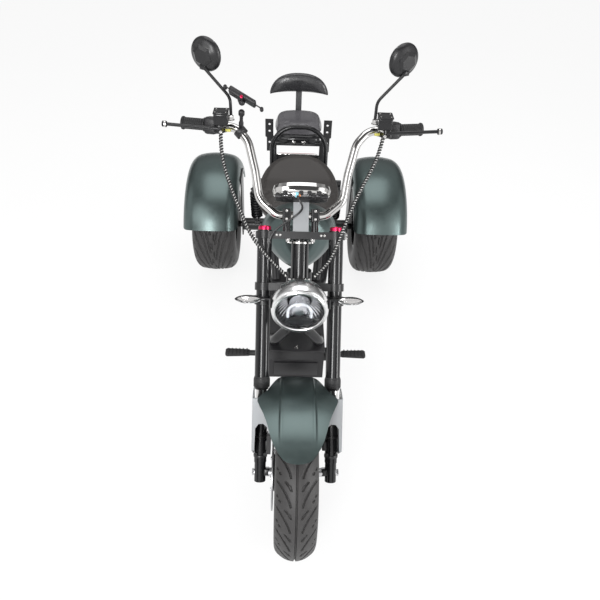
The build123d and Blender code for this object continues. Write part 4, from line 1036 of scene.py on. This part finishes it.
    def shell(self) -> None:
        """The painted shell behind the head, with a pointed belly."""
        stations = np.array([
            (482, 748, 44, 58), (490, 744, 64, 78), (506, 738, 88, 98), (530, 731, 108, 112),
            (562, 727, 121, 118), (598, 723, 125, 114), (634, 718, 116, 92), (662, 712, 102, 62),
        ], float)

        def shape(u: np.ndarray, v: np.ndarray) -> np.ndarray:
            """The shell's skin, u round it and v from its nose back."""
            t = np.clip((v - 0.04) / 0.92, 0, 1)
            back = np.interp(t, np.linspace(0, 1, 8), stations[:, 0])
            up = np.interp(back, stations[:, 0], stations[:, 1])
            w = np.interp(back, stations[:, 0], stations[:, 2])
            h = np.interp(back, stations[:, 0], stations[:, 3])
            closed = np.clip(v / 0.04, 0, 1) * np.clip((1 - v) / 0.04, 0, 1)
            angle = u * math.tau
            c, s = np.cos(angle), np.sin(angle)
            belly = np.where(s < 0, 1 - 0.30 * np.abs(s) ** 1.4, 1.0)
            x = w * c * belly * closed
            z = up + h * np.where(s < 0, 1.12 * s, 0.90 * s) * closed
            return np.stack([x, AXLE_Y + back, z], 1)

        body = skin(shape, 64, 72)
        smooth = body.modifiers.new("smooth", "SMOOTH")
        smooth.iterations = 6
        apply_all(body)
        keep("body_shell_dressed", body, Look.GUARD, "chassis", ["body_shell"], 50)

    def build(self) -> None:
        """Makes the seats, the backrest and the shell."""
        self.driver()
        self.passenger()
        self.backrest()
        self.shell()


@dataclass
class Headlight:
    """The round lamp: bezel with an eyelid, reflector, projector, light guide and cover glass."""

    centre: Vector = field(default_factory=lambda: on_fork(0, 495, 108.5))
    tilt: float = math.radians(3.0)
    radius: float = 82.0
    lens_w: float = 69.0
    lens_h: float = 67.5
    lens_down: float = 4.5

    def build(self) -> None:
        """Makes the lamp's front."""
        ahead = Vector((0, -math.cos(self.tilt), -math.sin(self.tilt)))
        where = place(self.centre, ahead)

        def ring(u: np.ndarray, v: np.ndarray) -> np.ndarray:
            """The bezel's surface: v from the shell's rim over the lid to inside the glass."""
            angle = u * math.tau
            c, s = np.cos(angle), np.sin(angle)
            table_v = np.array([0, 0.15, 0.3, 0.45, 0.85, 0.93, 1.0])
            table_z = np.array([-19, -10, -4, 0.5, 2.0, 0.0, -9])
            mix = np.interp(v, table_v, [0, 0.04, 0.12, 0.25, 0.97, 1.0, 1.03])
            z = np.interp(v, table_v, table_z)
            ox, oy = self.radius * c, self.radius * s
            ix, iy = self.lens_w * c, self.lens_h * s - self.lens_down
            x, y = ox + (ix - ox) * mix, oy + (iy - oy) * mix
            return np.stack([x, y, z - 3.0 * (s > 0) * s * mix], 1)

        bezel = settle(skin(ring, 28, 96), where)
        keep("headlight_bezel", tidy_faces(bezel), Look.LAMP_CHROME, "steering", (), 60)

        def bowl(u: np.ndarray, v: np.ndarray) -> np.ndarray:
            """The fluted reflector behind the glass."""
            angle = u * math.tau
            r = 68.5 - 38 * v
            z = -10 - 46 * v**0.6 + 0.9 * np.cos(angle * 36) * np.sin(v * math.pi)
            return np.stack([r * np.cos(angle), r * np.sin(angle) * 0.95 - 5, z], 1)

        reflector = settle(skin(bowl, 24, 216), where)
        dome = lathe([(30, -50), (30, -20), (27, -16), (26, -20), (20, -15), (10, -12.5), (0, -12)], where, 40)
        dome.data.transform(Matrix.Translation(where.to_3x3() @ Vector((0, -12, 0))))
        keep("headlight_reflector", reflector, Look.LAMP_CHROME, "steering", (), 60)
        keep("headlight_projector", dome, Look.ALLOY, "steering")
        guide = [Vector((33 * math.cos(a), -12 + 33 * math.sin(a), -11)) for a in np.linspace(0, math.pi, 25)]
        guide = [Vector((33, -30, -11))] + guide + [Vector((-33, -30, -11))]
        horseshoe = settle(tube(guide, 4.2), where)
        keep("headlight_light_guide", horseshoe, Look.WHITE, "steering")
        chin = plate([(-20, -30), (20, -30), (40, -46), (28, -57), (12, -62), (-12, -62), (-28, -57),
                      (-40, -46)], 26,
                     shifted(where, 0, 0, -36), 2)
        keep("headlight_chin", chin, Look.MOULDED, "steering")

        def glass(u: np.ndarray, v: np.ndarray) -> np.ndarray:
            """The domed cover glass."""
            angle = u * math.tau
            r = v
            x = (self.lens_w - 1.5) * r * np.cos(angle)
            y = (self.lens_h - 3.0) * r * np.sin(angle) - self.lens_down
            return np.stack([x, y, -7 + 4 * (1 - r**2)], 1)

        cover = settle(skin(glass, 16, 64, 2.0), where)
        keep("headlight_glass", cover, Look.LAMP_GLASS, "steering", ["headlight_lens"])


@dataclass
class Signals:
    """The leaf-shaped indicators beside the lamp's rings."""

    middle_x: float = 147.0
    along: float = 523.0
    ahead: float = 45.0
    half_l: float = 39.0
    half_h: float = 12.5

    def build(self) -> None:
        """Makes both indicators, a rim and a lens each."""
        rims: list[bpy.types.Object] = []
        backs: list[bpy.types.Object] = []
        lenses: list[bpy.types.Object] = []
        for side in SIDES:
            middle = on_fork(side * self.middle_x, self.along, self.ahead)
            out = Vector((side, 0, 0))
            start = self.middle_x - 86
            rims.append(rod(4.5, start - self.half_l + 6, place(middle - out * start, out), 0.8, 20))
            leaf = [Vector((self.half_l * math.cos(t), 0, self.half_h * math.sin(t) * abs(math.sin(t)) ** 0.35))
                    for t in np.linspace(0, math.tau, 41)]
            rims.append(tube([middle + p for p in leaf], 1.7))
            profile = [(max(0.0, self.half_h * 0.94 * math.sin(t) ** 1.35), self.half_l * 0.97 * math.cos(t))
                       for t in np.linspace(math.pi, 0, 17)]
            backs.append(lathe([(r * 0.8, z) for r, z in profile], place(middle + Vector((0, 5, 0)), out), 32))
            lenses.append(lathe(profile, place(middle - Vector((0, 2, 0)), out), 32))
        keep("signal_rims", rims, Look.GLOSS_BLACK, "steering")
        keep("signal_reflectors", backs, Look.CHROME, "steering")
        keep("signal_lenses", lenses, Look.SIGNAL_GLASS, "steering", ["turn_signals"])


@dataclass
class Instruments:
    """The speedometer, its plug and cable, and the bolts of the bar's risers."""

    centre: Vector = field(default_factory=lambda: at(0, 458, 938))
    tilt: float = math.radians(50.0)
    half_w: float = 85.0
    half_h: float = 44.0

    def build(self) -> None:
        """Makes the instruments."""
        facing = Vector((0, math.sin(self.tilt), math.cos(self.tilt)))
        where = place(self.centre, facing)

        def oval(u: np.ndarray, v: np.ndarray) -> np.ndarray:
            """The chrome case, v from the face's edge over the rim to the back."""
            angle = u * math.tau
            c, s = np.cos(angle), np.sin(angle)
            shrink = np.interp(v, [0, 0.12, 0.25, 0.5, 0.72, 0.86, 1.0],
                               [0.86, 0.9, 0.965, 1.0, 0.97, 0.86, 0.0])
            z = np.interp(v, [0, 0.12, 0.25, 0.5, 0.72, 0.86, 1.0], [10.5, 14, 14.5, 3, -10, -14.5, -15])
            px = np.sign(c) * np.abs(c) ** 0.82 * self.half_w * shrink
            py = np.sign(s) * np.abs(s) ** 0.9 * self.half_h * shrink
            return np.stack([px, py, z], 1)

        case = settle(skin(oval, 40, 96), where)
        keep("speedometer_case", tidy_faces(case), Look.CHROME, "steering", ["speedometer"], 50)
        face = lathe([(0, 0), (1, 0)], Matrix.Identity(4), 64)
        face.data.transform(shifted(where, 0, 0, 11) @ Matrix.Diagonal((74, 38, 1, 1)))
        dial = block((110, 46, 2), shifted(where, 0, 2, 12.5), 0.8)
        keep("speedometer_face", [face, dial], Look.GLOSS_BLACK, "steering")
        under = [block((118, 50, 14), shifted(where, 0, -2, -18), 5)]
        under += [block((30, 40, 16), shifted(where, x, -2, -17), 6) for x in (-62, 62)]
        under += [block((14, 26, 12), shifted(where, x, -22, -22), 4) for x in (-34, 34)]
        under += [rod(6, 14, shifted(where, x, -30, -16) @ TO_MINUS_Y, 1.5, 20)
                  for x in (-48, -2, 22, 50)]
        keep("speedometer_back", under, Look.MOULDED, "steering")
        strip = block((104, 2.5, 9), shifted(where, 0, -27, -17), 1)
        keep("speedometer_strip", strip, Look.ALLOY, "steering")
        plug = block((9, 10, 14), shifted(where, -14, -33, -20), 1.5)
        keep("meter_plug_blue", plug, Look.BLUE, "steering")
        plug = block((5, 9, 10), shifted(where, -6, -32, -19), 1.2)
        keep("meter_plug_orange", plug, Look.ORANGE, "steering")
        run = ((-13, 822, 68), (-6, 808, 76), (5, 790, 62), (-6, 774, 50), (-34, 754, 47), (-72, 728, 44),
               (-92, 700, 42), (-96, 650, 36))
        cable = tube([on_fork(*point) for point in run], 3.0, 3, 3)
        keep("meter_cable", cable, Look.SATIN_BLACK, "steering")
        bright = [hex_nut(on_fork(x, 700, 4), -FORK_DIR, 7, 8) for x in (-36, 36)]
        bright += [hex_nut(on_fork(0, 722, -30), FORK_DIR, 13, 10)]
        bright += [cap_bolt(on_fork(x, along, 22), FORK_AHEAD, 4.5, 5) for x in (-42, 42)
                   for along in (758, 782)]
        bright += [cap_bolt(on_fork(side * 134, along, 0), Vector((side, 0, 0)), 4.5, 5) for side in SIDES
                   for along in (706, 716)]
        bright += [cap_bolt(on_fork(x, 711, 22), FORK_AHEAD, 4, 4) for x in (-70, -60, 60, 70)]
        keep("clamp_bolts", bright, Look.CHROME, "steering")
        ring = [(27.5, -3), (33, -3), (33, 2), (29, 4), (27.5, 4)]
        headset = [lathe(ring, place(on_fork(0, along, -30), FORK_DIR), 40) for along in (690, 580)]
        keep("headset_rings", headset, Look.CHROME, "chassis")


@dataclass
class Controls:
    """Grips, switch pods, brake masters with levers, mirrors, hoses and the phone holder."""

    tip: tuple[float, float, float] = (355, 1040, -29)
    bend: tuple[float, float, float] = (196, 1025, -2)
    grip_length: float = 67.0

    def bar_frame(self, side: int, from_tip: float) -> Matrix:
        """The frame on the bar's end: z outwards along it, x ahead."""
        tip = on_fork(side * self.tip[0], self.tip[1], self.tip[2])
        bend = on_fork(side * self.bend[0], self.bend[1], self.bend[2])
        out = (tip - bend).normalized()
        return place(tip - out * from_tip, out, Vector((0, -0.95, 0.31)))

    def grips(self) -> None:
        """Ribbed rubber grips with round ends."""
        parts = []
        for side in SIDES:
            profile = [(12.6, 0), (20, 0), (20.5, 3), (18, 6)]
            for k in range(9):
                z = 8 + k * 6.2
                profile += [(16.4, z), (17.4, z + 1), (17.4, z + 4), (16.4, z + 5.2)]
            profile += [(19, 65), (20, 67), (19, 71), (14, 73), (0, 73)]
            parts.append(lathe(profile, self.bar_frame(side, self.grip_length), 40))
        keep("grips_dressed", parts, Look.GRIP, "steering", ["grips"])

    def pods(self) -> None:
        """Switch pods with their buttons."""
        shells, buttons, yellow = [], [], []
        for side in SIDES:
            where = self.bar_frame(side, self.grip_length + 1 + 20)
            shells.append(block((44, 50, 38), shifted(where, 2, 0, 0), 9, 3))
            shells.append(block((30, 30, 30), shifted(where, 8, 0, 0), 6, 3))
            buttons += [block((6, 9, 12), shifted(where, -21, y, 4), 2) for y in (-14, 0, 14)]
            yellow.append(block((10, 8, 16), shifted(self.bar_frame(side, self.grip_length + 78), 26, 8 * side,
                                                     0), 2))
        keep("switch_pods_dressed", shells, Look.MOULDED, "steering", ["bar_controls"])
        keep("switch_buttons", buttons, Look.RED, "steering")
        keep("wire_sleeves", yellow, Look.YELLOW, "steering")

    def masters(self) -> None:
        """Lids and screws of the brake fluid boxes, and rings on the levers' ends."""
        bodies, lids, screws, rings = [], [], [], []
        for side in SIDES:
            where = self.bar_frame(side, self.grip_length + 42 + 13)
            base = where.translation
            bodies.append(block((78, 36, 26), shifted(where, 20, 0, 0), 7, 3))
            bodies.append(block((41, 41, 36), place(base + Vector((0, -36, 41)), UP), 5, 3))
            top = base + Vector((0, -36, 60))
            lids.append(block((43, 43, 5), place(top, UP), 1.6))
            screws += [cap_bolt(top + Vector((dx, dy, 2.4)), UP, 2.6, 1.6) for dx in (-15, 15)
                       for dy in (-15, 15)]
            screws.append(cap_bolt(base + Vector((0, -62, 10)), Vector((0, -1, 0)), 5, 5))
            tip = Vector((side * 396, AXLE_Y + 556, 1095))
            rings.append(lathe([(8.6, -3), (9.4, -2), (9.4, 2), (8.6, 3), (8.6, -3)],
                               place(tip, Vector((side, 0, 0))), 28))
        keep("brake_masters_dressed", bodies, Look.GLOSS_BLACK, "steering")
        keep("reservoir_lids", lids, Look.GLOSS_BLACK, "steering")
        keep("master_screws", screws, Look.CHROME, "steering")
        keep("lever_end_rings", rings, Look.CHROME, "steering")

    def mirrors(self) -> None:
        """Faceted mirror shells on bent stems, with a glass each."""
        shells, stems, glasses, nuts = [], [], [], []
        for side in SIDES:
            centre = Vector((side * 271, AXLE_Y + 606, 1281))
            facing = Vector((side * -0.45, 0.85, 0.05)).normalized()
            where = place(centre, facing)
            profile = [(46.5, 1), (49.5, 0), (50.3, -4), (47, -11), (40, -17), (29, -21.5), (27, -24.5),
                       (14, -27), (0, -27)]
            shell = lathe(profile, where, 12)
            finer = shell.modifiers.new("finer", "SUBSURF")
            finer.levels = 2
            finer.render_levels = 2
            finer.subdivision_type = "CATMULL_CLARK"
            facets = lathe([(31, -18), (30, -24), (22, -29.5), (0, -29.5)],
                           where @ Matrix.Rotation(0.3, 4, "Z"), 6)
            apply_all(shell)
            shells += [shell, facets]
            glasses.append(rod(45.5, 3, where, 0.6, 64))
            base = self.bar_frame(side, self.grip_length + 42
                                  + 13).translation + Vector((-side * 25.7, -14, 30))
            knee = base + Vector((0, 0, 62))
            head = centre - facing * 20 + Vector((0, 0, -30))
            stems.append(tube(rounded([base, knee, head], 16), 4.5))
            stems.append(block((18, 14, 14), place(head, facing), 3))
            nuts.append(hex_nut(base + Vector((0, 0, -4)), UP, 8, 14))
        keep("mirror_shells_dressed", shells, Look.SATIN_BLACK, "steering", ["mirror_shells"],
             25)
        keep("mirror_stems", stems, Look.SATIN_BLACK, "steering")
        keep("mirror_panes", glasses, Look.MIRROR, "steering", ["mirror_glasses"])
        keep("mirror_nuts", nuts, Look.CHROME, "steering")

    def hoses(self) -> None:
        """The brake hoses in their spiral wrap, with pale gaps between its turns."""
        tables = (
            ((-238, 1006, 24), (-237, 960, 27), (-225, 903, 36), (-202, 837, 42), (-174, 774, 47),
             (-148, 715, 50),
             (-112, 666, 52), (-76, 628, 48), (-40, 592, 44)),
            ((236, 1006, 24), (224, 956, 27), (202, 905, 34), (172, 849, 40), (144, 788, 45), (122, 730, 50),
             (98, 664, 52), (74, 622, 50), (42, 592, 46)),
        )
        dark, pale = [], []
        for table in tables:
            line = [on_fork(*point) for point in table]
            smooth = route(line)
            pale.append(tube(smooth, 3.1, 2))
            dark.append(tube(helix(smooth, 3.5, 8.4), 3.0, 1))
        keep("hose_wraps", dark, Look.SATIN_BLACK, "steering", ["control_hoses"])
        keep("hose_cores", pale, Look.BEADS, "steering")

    def holder(self) -> None:
        """The phone holder: clamp, ball, plate with jaws, knob and button."""
        middle = on_fork(-174, 1090, 80)
        across = Vector((0.866, -0.298, -0.401))
        where = place(middle, Vector((0.5, 0.55, 0.67)), across)
        ring_at = on_fork(-182, 1010, 0)
        bar_run = on_fork(-196, 1025, -2) - on_fork(-160, 985, 0)
        dark = [block((84, 42, 12), shifted(where, 0, 2, 4), 4, 3),
                block((46, 34, 14), shifted(where, -16, -6, -2), 4, 3),
                rod(10.5, 15, shifted(where, -6, 22, 2) @ TO_PLUS_Y, 2, 24)]
        for side in SIDES:
            bent = [Vector((side * x, y, z)) for x, y, z in ((36, 4, 4), (56, 4, 4), (60, 12, 6), (60, 18, 6))]
            arm = tube(rounded(bent, 8), 2.0)
            dark.append(settle(arm, where))
            dark.append(rod(5.4, 18, shifted(where, side * 60, 10, 6) @ TO_PLUS_Y, 2, 20))
        neck = (middle - ring_at).normalized()
        stalk = [(0, 0), (7, 0), (7, 20), (5, 26), (5, 40), (9, 46), (9, 56), (6, 60), (0, 60)]
        dark.append(lathe(stalk, place(ring_at + neck * 14, neck)))
        dark.append(ball(9.5, place(middle - neck * 14, neck)))
        dark.append(lathe([(12.8, -10), (19, -9), (19, 9), (12.8, 10), (12.8, -10)], place(ring_at, bar_run),
                          36))
        dark.append(block((16, 12, 22), place(ring_at + FORK_AHEAD * 20, FORK_AHEAD), 2))
        keep("phone_holder_dressed", dark, Look.MOULDED, "steering", ["phone_holder"])
        button = rod(4.5, 5, shifted(where, 2, -20, -4) @ TO_MINUS_Y, 1.2, 20)
        keep("holder_button", button, Look.CAP, "steering")
        screws = [cap_bolt(ring_at + FORK_AHEAD * 26 + Vector((dx, 0, 0)), FORK_AHEAD, 3, 3) for dx in (-6, 6)]
        keep("holder_screws", screws, Look.CHROME, "steering")

    def build(self) -> None:
        """Makes all the controls."""
        self.grips()
        self.pods()
        self.masters()
        self.mirrors()
        self.hoses()
        self.holder()


class Fork:
    """Small parts of the fork: dust seals, pinch bolts and the caliper's details."""

    def build(self) -> None:
        """Makes the fork's small parts."""
        seals, bolts, caliper = [], [], []
        seal = [(16.2, -6), (20, -6), (20.5, -2), (22, 0), (24.6, 2), (24.6, 6), (23.8, 7), (24.6, 8),
                (24.6, 12),
                (23.8, 13), (24.6, 14), (24.6, 24), (22.5, 30), (21.9, 32)]
        for x in (-FORK_HALF, FORK_HALF):
            seals.append(lathe(seal, place(on_fork(x, 258), FORK_DIR), 40))
            inner = -math.copysign(1, x)
            bolts += [cap_bolt(on_fork(x + side * 14, 60, 15), FORK_AHEAD, 4.5, 5) for side in SIDES]
            bolts.append(rod(20.6, 9, place(on_fork(x, 47), FORK_DIR), 1.5, 40))
            bolts.append(rod(20.2, 7, place(on_fork(x, 108), FORK_DIR), 1.5, 40))
            bolts.append(block((18, 26, 20), place(on_fork(x + inner * 20, 2, 0), FORK_DIR), 4))
            bolts.append(block((14, 22, 30), place(on_fork(x + inner * 21, 84, 2), FORK_DIR), 3))
        keep("fork_dust_seals", seals, Look.GRIP, "steering")
        keep("fork_bolts", bolts, Look.SATIN_BLACK, "steering")
        caliper += [block((6, 10, 10), place(on_fork(-58, along, 36), FORK_DIR), 2) for along in (72, 92, 112)]
        caliper += [cap_bolt(on_fork(-62, along, 38), FORK_AHEAD, 5, 5) for along in (78, 104)]
        keep("caliper_bolts", caliper, Look.ALLOY, "steering")


class Chassis:
    """Details of the frame: battery box, pegs, axle, motor, springs, tail."""

    def box(self) -> None:
        """The battery box's lid, front rails and screws."""
        lid = block((196, 440, 8), place(at(0, 590, 374), UP), 2)
        ribs = [block((150, 4, 60), place(at(0, 360, 300), UP), 2)]
        ribs += [block((4, 300, 90), place(at(side * 96, 610, 290), UP), 2) for side in SIDES]
        keep("battery_box_trim", [lid] + ribs, Look.MOULDED, "chassis")
        screws = [cap_bolt(at(0, 386, 377), Vector((0, -0.3, 1)), 6, 4)]
        screws += [cap_bolt(at(side * 98.2, back, up), Vector((side, 0, 0)), 5, 3) for side in SIDES
                   for back in (480, 740) for up in (256, 326)]
        keep("battery_box_screws", screws, Look.CHROME, "chassis")

    def pegs(self) -> None:
        """Folding pegs with grooved rubber."""
        rubber, metal = [], []
        for side in SIDES:
            hinge = at(side * 108, 440, 292)
            metal.append(block((26, 40, 34), place(hinge, UP), 6, 3))
            metal.append(block((54, 22, 11), place(at(side * 142, 440, 292), UP), 4))
            foot = place(at(side * 164, 440, 293 - 5 * side), Vector((0, 0, side)), Vector((side, 0, 0)))
            rubber.append(plate([(0, -13), (80, -17), (86, -12), (86, 12), (80, 17), (0, 13)], 10, foot, 2))
            rubber += [block((5, 30, 3), place(at(side * x, 440, 299), UP), 1) for x in range(174, 240, 13)]
        keep("peg_rubbers", rubber, Look.GRIP, "chassis")
        keep("peg_arms", metal, Look.SATIN_BLACK, "chassis", ["foot_pegs"])

    def drive(self) -> None:
        """Fins of the motor, bolts of the axle and coils of the springs."""
        where = place(at(0, WHEELBASE - 70, REAR_TYRE_R), Vector((0, -1, 0)))
        fin = ((69, 0), (74, 1), (74, 4), (69, 5))
        profile = [(69, 8)] + [(r, z + dz) for z in range(14, 135, 12) for r, dz in fin]
        fins = lathe(profile + [(69, 150), (66, 160), (40, 167), (0, 167)], where, 56)
        keep("motor_fins", fins, Look.CAST, "chassis")
        bolts = [cap_bolt(at(side * 60, WHEELBASE + y, REAR_TYRE_R + z), Vector((side, 0, 0)), 4.5, 5)
                 for side in SIDES for y, z in ring_points(8, 64)]
        keep("axle_bolts", bolts, Look.ALLOY, "chassis")
        coils = []
        for side in SIDES:
            foot, head = at(side * 186, WHEELBASE - 28, 260), at(side * 186, 1262, 517)
            along = (head - foot).normalized()
            turns = helix([foot + along * 48, foot + along * 238], 24.0, 20.0, 14)
            coils.append(tube(turns, 4.2, 2))
        keep("spring_coils", coils, Look.GLOSS_BLACK, "chassis")

    def tail(self) -> None:
        """The tail lamp's bezel and the blank plate's screws."""
        bezel = block((192, 10, 46), place(at(0, 1453, 565), UP), 4, 3)
        keep("tail_lamp_bezel", bezel, Look.CHROME, "chassis")
        screws = [cap_bolt(at(x, 1446, 455), Vector((0, 1, 0)), 5, 3) for x in (-70, 70)]
        keep("plate_screws", screws, Look.CHROME, "chassis")

    def build(self) -> None:
        """Makes the chassis' details."""
        self.box()
        self.pegs()
        self.drive()
        self.tail()


NODE_FINISH: dict[str, Finish | ClearFinish] = {
    "head_tube": Look.GLOSS_BLACK, "main_frame": Look.SATIN_BLACK, "battery_box": Look.MOULDED,
    "seat_pans": Look.GLOSS_BLACK, "grab_hoop": Look.GLOSS_BLACK, "side_plates": Look.SATIN_BLACK,
    "backrest_post": Look.POST, "rear_axle": Look.CAST, "fender_brackets": Look.SATIN_BLACK,
    "shock_bar": Look.SATIN_BLACK, "rear_shocks": Look.CAST, "tail_bar": Look.SATIN_BLACK,
    "tail_lamp": Look.RED, "triple_clamps": Look.SATIN_BLACK, "fork_uppers": Look.GLOSS_BLACK,
    "fork_stanchions": Look.CHROME, "fork_lowers": Look.GLOSS_BLACK, "fork_caps": Look.CAP,
    "front_axle": Look.ALLOY, "bar_risers": Look.GLOSS_BLACK, "handlebar": Look.CHROME,
    "brake_levers": Look.GLOSS_BLACK, "dash_bracket": Look.STAY,
    "headlight_shell": Look.LAMP_CHROME, "fender_stays": Look.STAY, "front_caliper": Look.CAST,
    "front_rim": Look.GLOSS_BLACK, "front_disc": Look.DISC, "rear_rim_left": Look.GLOSS_BLACK,
    "rear_rim_right": Look.GLOSS_BLACK,
}


def dress_nodes() -> None:
    """Gives each CAD node that stays in view its finish."""
    for name, finish in NODE_FINISH.items():
        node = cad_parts[name]
        for slot in node.material_slots:
            slot.material = finish.material()
        if not node.material_slots:
            node.data.materials.append(finish.material())
        log.info("%s wears %s", name, finish.name)


@dataclass
class Studio:
    """The pale floor, the soft light and the photograph's camera."""

    height: float = 1.7406
    ahead: float = 0.9749
    aside: float = -0.042
    pitch: float = math.radians(36.778)
    swing: float = math.radians(-2.105)
    roll: float = math.radians(2.476)
    focal_px: float = 558.65
    picture: float = 600.0
    middle_x: float = 302.11
    middle_y: float = 266.37
    sensor_mm: float = 36.0
    floor_glow: float = 0.85

    def camera(self) -> None:
        """Sets up the camera."""
        w = Vector((-math.sin(self.swing) * math.cos(self.pitch), math.cos(self.swing) * math.cos(self.pitch),
                    -math.sin(self.pitch)))
        right = Vector((math.cos(self.swing), math.sin(self.swing), 0))
        up = right.cross(w)
        r2 = right * math.cos(self.roll) + up * math.sin(self.roll)
        u2 = up * math.cos(self.roll) - right * math.sin(self.roll)
        data = bpy.data.cameras.new("view")
        data.sensor_width = self.sensor_mm
        data.lens = self.focal_px / self.picture * self.sensor_mm
        data.shift_x = (self.picture / 2 - self.middle_x) / self.picture
        data.shift_y = (self.middle_y - self.picture / 2) / self.picture
        data.clip_start = 0.05
        camera = bpy.data.objects.new("view", data)
        bpy.context.collection.objects.link(camera)
        camera.matrix_world = (Matrix.Translation((self.aside, AXLE_Y * TO_METRES - self.ahead, self.height))
                               @ Matrix((r2, u2, -w)).transposed().to_4x4())
        bpy.context.scene.camera = camera

    def lamp(self, name: str, spot: Vector, size: tuple[float, float], power: float) -> None:
        """One soft light, wide by tall, that faces the tricycle."""
        data = bpy.data.lights.new(name, "AREA")
        data.shape = "RECTANGLE"
        data.size, data.size_y = size
        data.energy = power
        light = bpy.data.objects.new(name, data)
        bpy.context.collection.objects.link(light)
        aim = Vector((0, 0, 0.5)) - spot
        light.matrix_world = Matrix.Translation(spot) @ aim.to_track_quat("-Z", "Y").to_matrix().to_4x4()

    def world(self) -> None:
        """The pale surroundings, with soft bright patches that only polished surfaces see."""
        world = bpy.data.worlds.new("studio")
        bpy.context.scene.world = world
        world.use_nodes = True
        tree = world.node_tree
        back = tree.nodes["Background"]
        back.inputs["Color"].default_value = (1, 1, 1, 1)
        path = tree.nodes.new("ShaderNodeLightPath")
        coords = tree.nodes.new("ShaderNodeTexCoord")

        def lobe(aim: tuple[float, float, float], start: float, full: float,
                 power: float) -> bpy.types.NodeSocket:
            """A soft bright patch of the studio as polished surfaces see it."""
            facing = tree.nodes.new("ShaderNodeVectorMath")
            facing.operation = "DOT_PRODUCT"
            facing.inputs[1].default_value = aim
            tree.links.new(coords.outputs["Generated"], facing.inputs[0])
            span = tree.nodes.new("ShaderNodeMapRange")
            span.interpolation_type = "SMOOTHSTEP"
            span.inputs["From Min"].default_value = start
            span.inputs["From Max"].default_value = full
            span.inputs["To Max"].default_value = power
            tree.links.new(facing.outputs["Value"], span.inputs["Value"])
            return span.outputs["Result"]

        def add(first: bpy.types.NodeSocket, second: bpy.types.NodeSocket,
                operation: str = "ADD") -> bpy.types.NodeSocket:
            """Two values put together."""
            both = tree.nodes.new("ShaderNodeMath")
            both.operation = operation
            tree.links.new(first, both.inputs[0])
            tree.links.new(second, both.inputs[1])
            return both.outputs[0]

        seen = add(path.outputs["Is Camera Ray"], path.outputs["Is Transmission Ray"], "MAXIMUM")
        glossy = lobe((0.0, -0.98, 0.2), 0.76, 0.95, 1.15)
        glossy = add(glossy, lobe((0.0, 0.55, 0.83), 0.55, 0.95, 0.42))
        glossy = add(glossy, lobe((-0.93, -0.1, 0.35), 0.80, 0.95, 0.85))
        glossy = add(glossy, lobe((0.93, -0.1, 0.35), 0.80, 0.95, 0.60))
        mix = tree.nodes.new("ShaderNodeMix")
        mix.inputs["A"].default_value = 0.55
        tree.links.new(path.outputs["Is Glossy Ray"], mix.inputs["Factor"])
        tree.links.new(glossy, mix.inputs["B"])
        lift = tree.nodes.new("ShaderNodeMath")
        lift.operation = "ADD"
        lift.inputs[1].default_value = 0.10
        tree.links.new(mix.outputs["Result"], lift.inputs[0])
        level = tree.nodes.new("ShaderNodeMix")
        tree.links.new(seen, level.inputs["Factor"])
        tree.links.new(lift.outputs[0], level.inputs["A"])
        level.inputs["B"].default_value = 1.0
        tree.links.new(level.outputs["Result"], back.inputs["Strength"])

    def floor(self) -> None:
        """The pale floor, which keeps the tricycle's shadow."""
        deselect()
        bpy.ops.mesh.primitive_plane_add(size=24.0)
        floor = bpy.context.object
        floor.name = "floor"
        made = bpy.data.materials.new("pale_floor")
        made.use_nodes = True
        tree = made.node_tree
        shader = tree.nodes["Principled BSDF"]
        coords = tree.nodes.new("ShaderNodeTexCoord")
        noise = tree.nodes.new("ShaderNodeTexNoise")
        noise.inputs["Scale"].default_value = 3.0
        ramp = tree.nodes.new("ShaderNodeValToRGB")
        ramp.color_ramp.elements[0].color = (0.90, 0.90, 0.90, 1)
        ramp.color_ramp.elements[1].color = (0.94, 0.94, 0.94, 1)
        tree.links.new(coords.outputs["Object"], noise.inputs["Vector"])
        tree.links.new(noise.outputs["Fac"], ramp.inputs["Fac"])
        tree.links.new(ramp.outputs["Color"], shader.inputs["Base Color"])
        shader.inputs["Roughness"].default_value = 0.8
        glow = tree.nodes.new("ShaderNodeEmission")
        glow.inputs["Strength"].default_value = 1.0
        path = tree.nodes.new("ShaderNodeLightPath")
        seen = tree.nodes.new("ShaderNodeMath")
        seen.operation = "MAXIMUM"
        tree.links.new(path.outputs["Is Camera Ray"], seen.inputs[0])
        tree.links.new(path.outputs["Is Glossy Ray"], seen.inputs[1])
        share = tree.nodes.new("ShaderNodeMath")
        share.operation = "MULTIPLY"
        share.inputs[1].default_value = self.floor_glow
        tree.links.new(seen.outputs[0], share.inputs[0])
        blend = tree.nodes.new("ShaderNodeMixShader")
        tree.links.new(share.outputs[0], blend.inputs[0])
        tree.links.new(shader.outputs[0], blend.inputs[1])
        tree.links.new(glow.outputs[0], blend.inputs[2])
        tree.links.new(blend.outputs[0], tree.nodes["Material Output"].inputs["Surface"])
        floor.data.materials.append(made)

    def build(self) -> None:
        """Makes the camera, the world, the lamps and the floor."""
        self.camera()
        self.world()
        for name, spot, size, power in (
            ("key", (-2.2, -2.6, 3.4), (2.2, 2.2), 45),
            ("fill", (2.8, -2.0, 2.6), (2.4, 2.4), 25),
            ("top", (0, 0.6, 3.6), (2.6, 2.6), 45),
            ("front_strip", (-1.0, -4.0, 2.4), (0.9, 2.0), 90),
            ("side_strip", (2.6, -1.7, 1.1), (0.6, 1.8), 34),
        ):
            self.lamp(name, Vector(spot), size, power)
        self.floor()
        bpy.context.scene.view_settings.view_transform = "Standard"


def main() -> None:
    """Builds every sub-assembly in order."""
    logging.basicConfig(level=logging.INFO, format="%(message)s")
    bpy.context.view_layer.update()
    Studio().build()
    dress_nodes()
    for part in (Wheels(), Guards(), Seats(), Headlight(), Signals(), Instruments(), Controls(), Fork(),
                 Chassis()):
        part.build()
        log.info("%s done", type(part).__name__)


if __name__ == "__main__":
    main()
